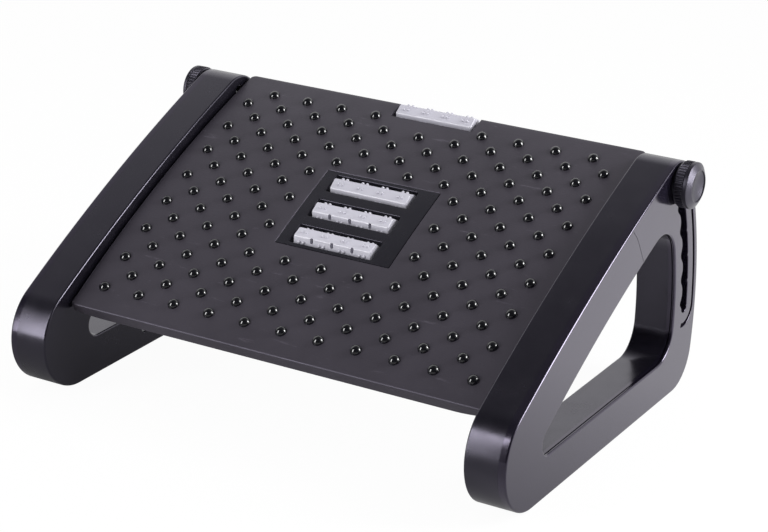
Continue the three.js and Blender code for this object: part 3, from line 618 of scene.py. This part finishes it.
def side_frames():
    screw = screw_mesh()
    for side, word in SIDES:
        place(f"shell_{word}", mesh_of(f"shell_{word}", shell_skin(side)), SHELL_MATERIAL, "stand", "frame_plastic",
              f"frame_shell_{word}")
        place(f"cover_{word}", mesh_of(f"cover_{word}", cover_skin(side)), COVER_MATERIAL, "stand", "cover_plastic",
              f"frame_cover_{word}")
        for i, (y, z) in enumerate(SCREW_PLACES):
            mesh = screw.copy()
            mesh.transform(Matrix.Translation(to_frame((side * (INNER_FACE + SCREW_SINK), y, z)))
                           @ Matrix.Scale(side, 4, (1, 0, 0)) @ Matrix.Rotation((20 + 37 * i) * DEGREE, 4, "X"))
            if side < 0:
                mesh.flip_normals()
            place(f"screw_{word}_{i + 1}", mesh, STEEL_MATERIAL, "stand", "steel", f"cover_screw_{word}_{i + 1}")
        for end, front in zip(("front", "rear"), PAD_FRONTS):
            place(f"pad_{word}_{end}", mesh_of("pad", pad_skin(side, front)), PAD_MATERIAL, "stand", "pad_rubber",
                  f"foot_pad_{word}_{end}")
        pin = Skin()
        pin.turn(rod(PIN_START, PIN_END, PIN_RADIUS, PIN_CHAMFER), PIVOT, 32, side)
        place(f"pin_{word}", mesh_of("pin", pin), STEEL_MATERIAL, "stand", "steel", f"pivot_pin_{word}")


# Foot plate

PLATE_LENGTH = PLATE_REAR - PLATE_FRONT
PLATE_MIDDLE = (PLATE_FRONT + PLATE_REAR) / 2
PLATE_RADIUS = PLATE_LENGTH ** 2 / (8 * PLATE_CROWN) + PLATE_CROWN / 2


def surface(y):
    """The height of the plate's crowned top."""
    return PIVOT_DROP + PLATE_CROWN - PLATE_RADIUS + math.sqrt(PLATE_RADIUS ** 2 - (y - PLATE_MIDDLE) ** 2)


def plate_profile(lip, drawn_in, drop):
    """The plate's side view: the lip's height in front, the rear edge drawn in and the top let down at the sides."""
    rear = PLATE_REAR - drawn_in
    front = PLATE_FRONT + drawn_in * 0.3

    def span(start, end, depth, count):
        return [(y, surface(y) - depth) for y in (start + (end - start) * i / count for i in range(count + 1))]

    nose = max(NOSE_DEPTH, lip)
    points = [(front + 0.6, surface(front) - lip), (front + 6, surface(front) - lip - (nose - lip) * 0.35),
              (PLATE_FRONT + NOSE_RUN, surface(PLATE_FRONT + NOSE_RUN) - nose)]
    points += span(PLATE_FRONT + SKIRT_RUN, rear, SKIRT_DEPTH, 24)
    round_rear, round_front = 1.6, 1.5
    points += [(rear - round_rear * (1 - math.cos(t)), surface(rear) - round_rear * (1 - math.sin(t)) - drop)
               for t in (math.pi / 2 * i / 4 for i in range(5))]
    points += [(y, z - drop) for y, z in span(rear - round_rear - 1, front + round_front + 1, 0, 96)]
    crest = surface(front) - drop * 0.5
    points += [(front + round_front * (1 - math.sin(t)), crest - round_front * (1 - math.cos(t)))
               for t in (math.pi / 2 * i / 6 for i in range(7))]
    points.append((front, surface(front) - lip + 0.6))
    return points


def plate_skin():
    """The plate without its openings: side views from one side edge to the other."""
    insets = [0, 0.12, 0.47, 0.98, 1.6, 2.4, 3.4, 4.4, 5.5, 8, 11, 14, 18, 22, 26, 30, 46, 70, 100, 140, 170]
    skin = Skin()

    def ring(inset):
        share = max(0, 1 - inset / LIP_TAPER)
        lip = LIP - (LIP - LIP_END) * share ** 2
        drawn_in = PLATE_CORNER - math.sqrt(PLATE_CORNER ** 2 - max(0, PLATE_CORNER - inset) ** 2)
        drop = PLATE_EDGE - math.sqrt(PLATE_EDGE ** 2 - max(0, PLATE_EDGE - inset) ** 2)
        return plate_profile(lip, drawn_in, drop)

    stations = [(-PLATE_HALF + inset, ring(inset)) for inset in insets]
    stations += [(-x, points) for x, points in reversed(stations)]
    rings = [skin.ring([(x, y, z) for y, z in points]) for x, points in stations]
    skin.loft(rings)
    skin.cap(rings[0])
    skin.cap(rings[-1])
    return skin


def well(half, front, rear, levels, radius, shift=0):
    """A block or cutter: rounded rectangles at depths below the crowned surface, each grown by an amount."""
    skin = Skin()
    rings = []
    for depth, grow in levels:
        reach = radius + grow
        points = []
        for sx, y, quarter in ((1, rear, 0), (-1, rear, 1), (-1, front, 2), (1, front, 3)):
            centre = (sx * (half - radius), y - radius if y == rear else y + radius)
            points += arc(centre, max(reach, 0.05), quarter * math.pi / 2, (quarter + 1) * math.pi / 2, 5)
            if quarter in (1, 3):
                last = points[-1][1]
                goal = front + radius if quarter == 1 else rear - radius
                points += [(points[-1][0], last + (goal - last) * i / 12) for i in range(1, 12)]
        rings.append(skin.ring([(x + shift, y, surface(min(y, PLATE_REAR)) - depth) for x, y in points]))
    skin.loft(rings)
    for ring in (rings[0], rings[-1]):
        loop = [[Vector((skin.points[i][0], skin.points[i][1], 0)) for i in ring]]
        skin.faces += [tuple(ring[k] for k in triangle) for triangle in tessellate_polygon(loop)]
    return skin


def pocket_skins():
    """Cutters for the pockets between the plate's ribs, open at the bottom."""
    side_wall = PLATE_HALF - PLATE_WALL
    width = (side_wall - PANEL_HALF - PLATE_RIB) / POCKET_COLUMNS
    front, rear = PLATE_FRONT + POCKET_SETBACK, REAR_ROLLER_Y - WINDOW_DEPTH / 2 - PLATE_WALL
    rows = [(front, PANEL_FRONT - PLATE_RIB), (PANEL_FRONT, PANEL_REAR), (PANEL_REAR + PLATE_RIB, rear)]
    spans = [(-PANEL_HALF, PANEL_HALF, rows[0]), (-PANEL_HALF, PANEL_HALF, rows[2])]
    for side in (-1, 1):
        for column in range(POCKET_COLUMNS):
            start = PANEL_HALF + PLATE_RIB + column * width
            end = start + width - (PLATE_RIB if column < POCKET_COLUMNS - 1 else 0)
            spans += [(min(side * start, side * end), max(side * start, side * end), row) for row in rows]
    skins = []
    for low, high, (from_y, to_y) in spans:
        skins.append(well((high - low) / 2, from_y, to_y, [
            (PLATE_SKIN, -0.6), (PLATE_SKIN + 0.6, 0), (SKIRT_DEPTH + 6, 0.8)], 2, shift=(low + high) / 2))
    return skins


def bump_places():
    places = []
    first = PLATE_MIDDLE + BUMP_ROW_PITCH * (BUMP_ROWS - 1) / 2
    reach = PLATE_HALF - BUMP_RADIUS - PLATE_WALL
    keep = BUMP_RADIUS + BUMP_MARGIN
    for row in range(BUMP_ROWS):
        y = first - row * BUMP_ROW_PITCH
        shift = BUMP_PITCH / 2 if row % 2 == 0 else 0
        x = shift - math.ceil(PLATE_HALF / BUMP_PITCH) * BUMP_PITCH
        while x < reach:
            in_panel = abs(x) < PANEL_HALF + BUMP_RADIUS and PANEL_FRONT - keep < y < PANEL_REAR + keep
            in_notch = abs(x) < WINDOW_LENGTH / 2 + keep and y > REAR_ROLLER_Y - WINDOW_DEPTH / 2 - keep
            if x > -reach and not in_panel and not in_notch:
                places.append((x, y))
            x += BUMP_PITCH
    return places


def bump_skin():
    """Every bump as a dome, square to the crowned surface."""
    profile = [(-0.5, BUMP_RADIUS), (0.1, BUMP_RADIUS)]
    profile += [(BUMP_HEIGHT * math.sin(t), BUMP_RADIUS * math.cos(t)) for t in
                (math.pi / 2 * (i + 1) / 10 for i in range(9))]
    skin = Skin()
    count = 26
    for x, y in bump_places():
        lean = -math.asin((y - PLATE_MIDDLE) / PLATE_RADIUS)
        rings = []
        for height, radius in profile:
            rings.append(skin.ring([
                (x + radius * math.cos(a), y + radius * math.sin(a) * math.cos(lean) - height * math.sin(lean),
                 surface(y) + radius * math.sin(a) * math.sin(lean) + height * math.cos(lean))
                for a in (2 * math.pi * i / count for i in range(count))]))
        skin.loft(rings)
        tip = skin.ring([(x, y - BUMP_HEIGHT * math.sin(lean), surface(y) + BUMP_HEIGHT * math.cos(lean))])[0]
        skin.faces += [(rings[-1][i], rings[-1][(i + 1) % count], tip) for i in range(count)]
        skin.faces.append(tuple(rings[0]))
    return skin


WINDOW_MIDDLES = [PANEL_REAR - PANEL_MARGIN - WINDOW_DEPTH / 2 - i * WINDOW_PITCH for i in range(3)]
STUD = polar((0, 0), SLOT_REACH, HIGHEST_NOTCH - PLATE_TILT)


def boss_skin():
    """Bosses inside the plate's side walls, round the pivot pins and the knob studs."""
    skin = Skin()
    for side in (-1, 1):
        for centre, radius, length in (((0, 0), 9, 23), (STUD, 10.5, NUT_DEPTH)):
            start = PLATE_HALF - length
            skin.turn([(start, 0), (start, radius - 0.8), (start + 0.8, radius), (PLATE_HALF - 1, radius),
                       (PLATE_HALF - 1, 0)], centre, 40, side)
    return skin


def bore_skins():
    """Cutters for the pivot pins, the knob studs and the captive nuts."""
    outside = PLATE_HALF + 5
    nut_end = PLATE_HALF - NUT_DEPTH
    inside = nut_end - 5
    skins = []
    for side in (-1, 1):
        for centre, radius, start, end, count in (
                ((0, 0), 4.2, PLATE_HALF - 20, outside, 32), (STUD, STUD_BORE, inside, outside, 32),
                (STUD, NUT_RADIUS + CLEARANCE, inside, nut_end + NUT_LENGTH + CLEARANCE, 6)):
            skin = Skin()
            skin.turn(rod(start, end, radius), centre, count, side)
            skins.append(skin)
    return skins


def axis_of(y):
    return y, surface(y) - AXIS_DROP


def axle_seat(y, across):
    """A cutter for a roller's pin, which runs into the walls on both sides of its window."""
    skin = Skin()
    skin.turn(rod(across - AXLE_SEAT_REACH, across + AXLE_SEAT_REACH, AXLE_SEAT_RADIUS), axis_of(y), 24)
    return skin


def foot_plate():
    def tilted(skins):
        return [mesh_of("tool", skin, True) for skin in skins]

    opening = well(PANEL_HALF - LEDGE, PANEL_FRONT + LEDGE, PANEL_REAR - LEDGE,
                   [(SKIRT_DEPTH + 6, 0), (-4, 0)], 1)
    recess = well(PANEL_HALF, PANEL_FRONT, PANEL_REAR,
                  [(PANEL_FLANGE + CLEARANCE, 0), (0.4, 0), (0, 0.35), (-2, 2.35)], 1)
    notch = well(WINDOW_LENGTH / 2, REAR_ROLLER_Y - WINDOW_DEPTH / 2, PLATE_REAR + 30,
                 [(SKIRT_DEPTH + 12, 0), (0.5, 0), (0, 0.45), (-3, 3.45)], 1)
    seat = axle_seat(REAR_ROLLER_Y, 0)
    body = cut("plate_body", mesh_of("plate", plate_skin(), True), *tilted(pocket_skins()))
    # The bosses are trimmed to the plate, drawn in a little so that no faces coincide
    inner = mesh_of("inner", plate_skin(), True)
    for vertex in inner.vertices:
        vertex.co -= vertex.normal * 0.4 * MM
    bosses = cut("bosses", *tilted([boss_skin()]), inner, operation="INTERSECT")
    body = cut("plate_bossed", body, bosses, operation="UNION")
    body = cut("plate", body, *tilted([opening, recess, notch, seat, *bore_skins()]), sharp=30)
    place("plate", body, PLATE_MATERIAL, "platform", "plate_plastic", "platform")
    place("plate_bumps", mesh_of("bumps", bump_skin(), True), BUMP_MATERIAL, "platform", "plate_plastic",
          weighted=False)


def roller_panel():
    slab = well(PANEL_HALF - CLEARANCE, PANEL_FRONT + CLEARANCE, PANEL_REAR - CLEARANCE,
                [(PANEL_FLANGE, 0), (0.6, 0), (0.18, -0.18), (0, -0.6)], 1)
    throat = [(20, 0), (0.8, 0), (0.28, 0.13), (0.08, 0.33), (-0.01, 0.8), (-3, 3.8)]
    cutters, cradles = [], []
    for y in WINDOW_MIDDLES:
        front, rear = y - WINDOW_DEPTH / 2, y + WINDOW_DEPTH / 2
        cradles.append(well(WINDOW_LENGTH / 2 + 4.2, front - CRADLE_WALL, rear + CRADLE_WALL,
                            [(CRADLE_DEPTH, -0.4), (CRADLE_DEPTH - 0.4, 0), (PANEL_FLANGE / 2, 0)], 1,
                            shift=-WINDOW_SHIFT))
        cutters.append(well(WINDOW_LENGTH / 2, front, rear, throat, 1.5, shift=-WINDOW_SHIFT))
        cutters.append(axle_seat(y, -WINDOW_SHIFT))
    body = cut("panel_slab", mesh_of("slab", slab, True), *[mesh_of("cradle", s, True) for s in cradles],
               operation="UNION")
    body = cut("panel", body, *[mesh_of("window", s, True) for s in cutters], sharp=30)
    place("panel", body, PANEL_MATERIAL, "platform", "panel_plastic", "roller_panel")


# Rollers

def hexagon(apothem, radius):
    """A hexagon with rounded corners, as points of one turn."""
    corner = (apothem - radius) / math.cos(math.pi / 6)
    points = []
    for i in range(6):
        angle = i * math.pi / 3
        points += arc(polar((0, 0), corner, angle), radius, angle - math.pi / 6, angle + math.pi / 6, 6)
    return points


def roller_mesh():
    """A hexagonal roller with pairs of nubs on its flats and clefts beside every other ridge."""
    half = ROLLER_LENGTH / 2
    skin = Skin()
    stations = [(-half, 0.7), (-half + 0.1, 0.35), (-half + 0.35, 0.1), (-half + 0.7, 0.0)]
    stations += [(-x, inset) for x, inset in reversed(stations)]
    rings = [skin.ring([(x, y, z) for y, z in hexagon(ROLLER_APOTHEM - inset, ROLLER_CORNER)])
             for x, inset in stations]
    skin.loft(rings)
    skin.cap(rings[0])
    skin.cap(rings[-1])
    base = local_mesh(skin)
    clefts = Skin()
    for ridge in (0, 2, 4):
        for group in (-1, 0, 1):
            cleft(clefts, group * GROUP_PITCH, ridge * math.pi / 3 + CLEFT_LAG)
    bore = Skin()
    bore.turn(rod(-half - 5, half + 5, ROLLER_BORE), (0, 0), 28)
    body = cut("roller", base, local_mesh(clefts), local_mesh(bore))
    nubs = Skin()
    for face in range(6):
        for group in (-1.5, -0.5, 0.5, 1.5):
            for pair in (-PAIR_HALF, PAIR_HALF):
                nub(nubs, group * GROUP_PITCH + pair, (face + 0.5) * math.pi / 3)
    return cut("roller", body, local_mesh(nubs), operation="UNION")


def outwards(x, angle, reach, outline):
    """The points of an outline that faces out from the roller's axis at an angle and a reach."""
    out = (math.cos(angle), math.sin(angle))
    across = (-out[1], out[0])
    return [(x + u, out[0] * reach + across[0] * v, out[1] * reach + across[1] * v) for u, v in outline]


def cleft(skin, x, angle):
    """A cutter for a slot with round ends, long across the roller's axis."""
    straight = CLEFT_HALF_LENGTH - CLEFT_RADIUS
    outline = [(math.cos(t) * CLEFT_RADIUS, math.sin(t) * CLEFT_RADIUS + straight * (1 if math.sin(t) > 0 else -1))
               for t in (2 * math.pi * (i + 0.5) / 16 for i in range(16))]
    skin.solid([skin.ring(outwards(x, angle, reach, outline))
                for reach in (ROLLER_RADIUS - CLEFT_DEPTH, ROLLER_RADIUS + 3)])


def nub(skin, x, angle):
    profile = [(-0.8, NUB_RADIUS + 0.15), (0.1, NUB_RADIUS)]
    profile += [(NUB_HEIGHT * math.sin(t), NUB_RADIUS * math.cos(t) ** 0.8) for t in (0.45, 0.85, 1.2, 1.42)]
    skin.solid([skin.ring(outwards(x, angle, ROLLER_APOTHEM + height, [
        (radius * math.cos(a), radius * math.sin(a)) for a in (2 * math.pi * i / 14 for i in range(14))]))
        for height, radius in profile])


def rollers():
    shape = roller_mesh()
    pin = Skin()
    pin.turn(rod(-AXLE_REACH, AXLE_REACH, AXLE_RADIUS, 0.4), (0, 0), 24)
    pin_shape = local_mesh(pin)
    for word, y in (*zip("123", WINDOW_MIDDLES), ("rear", REAR_ROLLER_Y)):
        across = 0 if word == "rear" else -WINDOW_SHIFT
        spot = Matrix.Translation(to_frame(TILT @ Vector((across, *axis_of(y)))))
        spot = spot @ Matrix.Rotation(PLATE_TILT + ROLLER_TURNS[word] * DEGREE, 4, "X")
        if word in END_FOR_END:
            spot = spot @ Matrix.Rotation(math.pi, 4, "Z")
        for kind, source, material, body, slot in (
                ("roller", shape, ROLLER_MATERIAL, f"roller_{word}", "roller_plastic"),
                ("roller_pin", pin_shape, STEEL_MATERIAL, "platform", "steel")):
            mesh = source.copy()
            mesh.transform(spot)
            place(f"{kind}_{word}_look", mesh, material, body, slot, f"{kind}_{word}")


# Knobs with their studs, washers and nuts

def knob_skin(side):
    """A knob with a ribbed grip, a groove, a bevelled collar and a dished face."""
    foot = OUTER_FACE + KNOB_STAND
    rim = foot + KNOB_GRIP
    face = rim + KNOB_COLLAR + KNOB_BEVEL

    def ribs(x, angle):
        if x > rim - 0.3 or x < foot + 1.7:
            return 0
        return -RIB_DEPTH * (0.5 - 0.5 * math.cos(RIBS * angle)) ** 1.3

    bore_end = foot + 9.3
    profile = [(bore_end, 0), (bore_end, STUD_BORE), (foot, STUD_BORE)]
    profile += [(foot, 18.2), (foot + 0.3, 18.9), (foot + 1.2, 19.1), (foot + 1.5, 19.4), (foot + 1.8, KNOB_RADIUS)]
    profile += [(rim - 0.9, KNOB_RADIUS), (rim - 0.5, KNOB_RADIUS), (rim - 0.25, 19.4), (rim, 19.3),
                (rim + 0.25, 19.4), (rim + 0.5, 19.95)]
    shoulder = rim + KNOB_COLLAR
    profile += [(shoulder - 0.5, 19.95), (shoulder - 0.15, 19.8), (shoulder + 0.15, 19.45), (shoulder + 0.9, 18.2),
                (face - 0.7, 15.2), (face - 0.2, 14.5)]
    profile += [(face, 14.1), (face, 13.8), (face - 0.1, 13.55), (face - 0.4, 13.4), (face - 1.1, DISH_RADIUS)]
    for share in (0.1, 0.2, 0.3, 0.45, 0.6, 0.75, 0.9):
        profile.append((face - 1.1 - DISH_DEPTH * math.sin(share * math.pi / 2), DISH_RADIUS * (1 - share)))
    profile.append((face - 1.1 - DISH_DEPTH, 0))
    skin = Skin()
    skin.turn(profile, STUD, 360, side, ribs)
    return skin


def stud_skin(side):
    """The stud's thread as a ridge that winds round it, with plain ends."""
    start, end = PLATE_HALF - NUT_DEPTH, OUTER_FACE + KNOB_STAND + 9
    skin = Skin()

    def thread(x, angle):
        if not start + 0.4 < x < end - 0.4:
            return 0
        turns = x / THREAD_PITCH - angle / (2 * math.pi)
        return -THREAD_DEPTH * abs(2 * (turns - math.floor(turns + 0.5)))

    count = int((end - start - 1) / 0.3)
    profile = [(start, 0), (start, 3.2)]
    profile += [(start + 0.5 + (end - start - 1) * i / count, STUD_RADIUS) for i in range(count + 1)]
    profile += [(end, 3.2), (end, 0)]
    skin.turn(profile, STUD, 36, side, thread)
    return skin


def washer_skin(side):
    near = OUTER_FACE + CLEARANCE
    far = near + WASHER_THICKNESS
    skin = Skin()
    rings = skin.turn([
        (near, STUD_BORE), (near, WASHER_RADIUS - WASHER_CHAMFER), (near + WASHER_CHAMFER, WASHER_RADIUS),
        (far - WASHER_CHAMFER, WASHER_RADIUS), (far, WASHER_RADIUS - WASHER_CHAMFER), (far, STUD_BORE),
    ], STUD, 48, side)
    skin.bridge(rings[-1], rings[0])
    return skin


def nut_skin(side):
    """A hexagonal nut; a limit on its radius rounds the corners of both ends."""
    low = PLATE_HALF - NUT_DEPTH
    high = low + NUT_LENGTH
    angles = [2 * math.pi * i / 48 for i in range(48)]
    skin = Skin()
    rings = [skin.ring([(side * x, *polar(STUD, STUD_BORE, a)) for a in angles]) for x in (low, high)]
    skin.bridge(*rings)
    outer = []
    for x, limit in ((low, 6.7), (low + 0.6, NUT_RADIUS), (high - 0.6, NUT_RADIUS), (high, 6.7)):
        points = []
        for angle in angles:
            flat = NUT_RADIUS * math.cos(math.pi / 6) / math.cos((angle % (math.pi / 3)) - math.pi / 6)
            points.append((side * x, *polar(STUD, min(flat, limit), angle)))
        outer.append(skin.ring(points))
    skin.loft(outer)
    skin.bridge(outer[0], rings[0])
    skin.bridge(outer[-1], rings[1])
    return skin


def clamps():
    for side, word in SIDES:
        place(f"knob_{word}_look", mesh_of("knob", knob_skin(side), True), KNOB_MATERIAL, f"knob_{word}",
              "knob_plastic", f"knob_{word}")
        place(f"stud_{word}", mesh_of("stud", stud_skin(side), True), STEEL_MATERIAL, f"knob_{word}", "steel",
              f"knob_stud_{word}")
        place(f"washer_{word}_look", mesh_of("washer", washer_skin(side), True), STEEL_MATERIAL, f"washer_{word}",
              "steel", f"knob_washer_{word}")
        place(f"nut_{word}", mesh_of("nut", nut_skin(side), True), STEEL_MATERIAL, "platform", "steel",
              f"captive_nut_{word}")


# Stage


AIM = (0, 0, 0.12)


def light(name, radiance, width, height, towards, distance):
    """A softbox that stands in a direction from AIM and faces it, in metres."""
    data = bpy.data.lights.new(name, "AREA")
    data.shape, data.size, data.size_y = "RECTANGLE", width, height
    data.energy = radiance * math.pi * width * height
    lamp = bpy.data.objects.new(name, data)
    lamp.location = Vector(AIM) + Vector(towards).normalized() * distance
    lamp.rotation_euler = Vector(towards).to_track_quat("Z", "Y").to_euler()
    lamp.visible_camera = False
    bpy.context.scene.collection.objects.link(lamp)


def mirrored_rays(tree):
    """1 for rays that glossy or clear surfaces send on, otherwise 0."""
    path = node(tree, "ShaderNodeLightPath").outputs
    return node(tree, "ShaderNodeMath", {0: path["Is Glossy Ray"], 1: path["Is Transmission Ray"]},
                operation="MAXIMUM").outputs[0]


# The world's strength: as light from below and above, and as seen in gloss at the top and in front
WORLD_FILL, WORLD_TOP, WORLD_FRONT = (0.15, 0.85), 0.12, 0.05
# The share of the floor that glows, for the camera and in gloss; the rest of it takes the object's shadow
FLOOR_SHOWN, FLOOR_MIRRORED = 0.96, 0.7
FLOOR_HALF = 6000


def studio():
    """A world that is white for the camera and graded in gloss."""
    world = bpy.data.worlds.new("studio")
    bpy.context.scene.world = world
    world.use_nodes = True
    tree = world.node_tree
    background = tree.nodes["Background"]
    background.inputs["Color"].default_value = (1, 1, 1, 1)
    seen = node(tree, "ShaderNodeLightPath").outputs["Is Camera Ray"]
    direction = node(tree, "ShaderNodeSeparateXYZ", {0: node(tree, "ShaderNodeTexCoord").outputs["Generated"]})
    low = spread(tree, direction.outputs["Z"], 1.0, WORLD_TOP, 0.60, 0.90)
    mirrored = spread(tree, direction.outputs["Y"], WORLD_FRONT, low, -0.25, 0.15)
    fill = spread(tree, direction.outputs["Z"], *WORLD_FILL, 0, 1)
    lit = spread(tree, mirrored_rays(tree), fill, mirrored, 0, 1)
    tree.links.new(spread(tree, seen, lit, 1.0, 0, 1), background.inputs["Strength"])


def floor_paper():
    """A pale floor that is nearly white for the camera and darker in gloss towards the front left."""
    skin = Skin()
    skin.faces.append(tuple(skin.ring([(x * FLOOR_HALF, y * FLOOR_HALF, -0.1)
                                       for x, y in ((-1, -1), (1, -1), (1, 1), (-1, 1))])))
    floor = bpy.data.objects.new("floor", local_mesh(skin))
    bpy.context.scene.collection.objects.link(floor)
    material = bpy.data.materials.new("floor_paper")
    material.use_nodes = True
    tree = material.node_tree
    shader = tree.nodes["Principled BSDF"]
    shader.inputs["Base Color"].default_value = (0.9, 0.9, 0.9, 1)
    shader.inputs["Roughness"].default_value = 0.9
    shader.inputs["Specular IOR Level"].default_value = 0.1
    seen = node(tree, "ShaderNodeLightPath").outputs["Is Camera Ray"]
    spot = node(tree, "ShaderNodeSeparateXYZ", {0: node(tree, "ShaderNodeNewGeometry").outputs["Position"]})
    backdrop = spread(tree, spot.outputs["Y"], 0.1, 1.2, -0.28, 0.15)
    backdrop = node(tree, "ShaderNodeMath", {0: backdrop, 1: spread(tree, spot.outputs["X"], 0.3, 1.0, 0.05, 0.22)},
                    operation="MULTIPLY").outputs[0]
    strength = spread(tree, seen, backdrop, 1.0, 0, 1)
    glow = node(tree, "ShaderNodeEmission", {"Color": (1, 1, 1, 1), "Strength": strength})
    mirror = spread(tree, mirrored_rays(tree), 0.0, FLOOR_MIRRORED, 0, 1)
    share = spread(tree, seen, mirror, FLOOR_SHOWN, 0, 1)
    mixed = node(tree, "ShaderNodeMixShader", {0: share, 1: shader.outputs[0], 2: glow.outputs[0]})
    tree.links.new(mixed.outputs[0], tree.nodes["Material Output"].inputs["Surface"])
    floor.data.materials.append(material)


def lights():
    light("key", 15, 0.46, 0.9, (0.90, 0.32, 0.36), 1.3)
    light("fill", 8.8, 0.72, 1.9, (-0.50, -0.83, 0.33), 2.5)


def camera():
    data = bpy.data.cameras.new("camera")
    data.sensor_width, data.lens = 36, 110.84
    data.clip_start, data.clip_end = 0.05, 50
    eye = bpy.data.objects.new("camera", data)
    eye.location = (0.98078, -1.60944, 0.84978)
    eye.rotation_euler = (68.620 * DEGREE, -0.8247 * DEGREE, 30.980 * DEGREE)
    bpy.context.scene.collection.objects.link(eye)
    bpy.context.scene.camera = eye


bpy.context.scene.view_settings.view_transform = "Standard"
camera()
studio()
floor_paper()
lights()
side_frames()
foot_plate()
roller_panel()
rollers()
clamps()
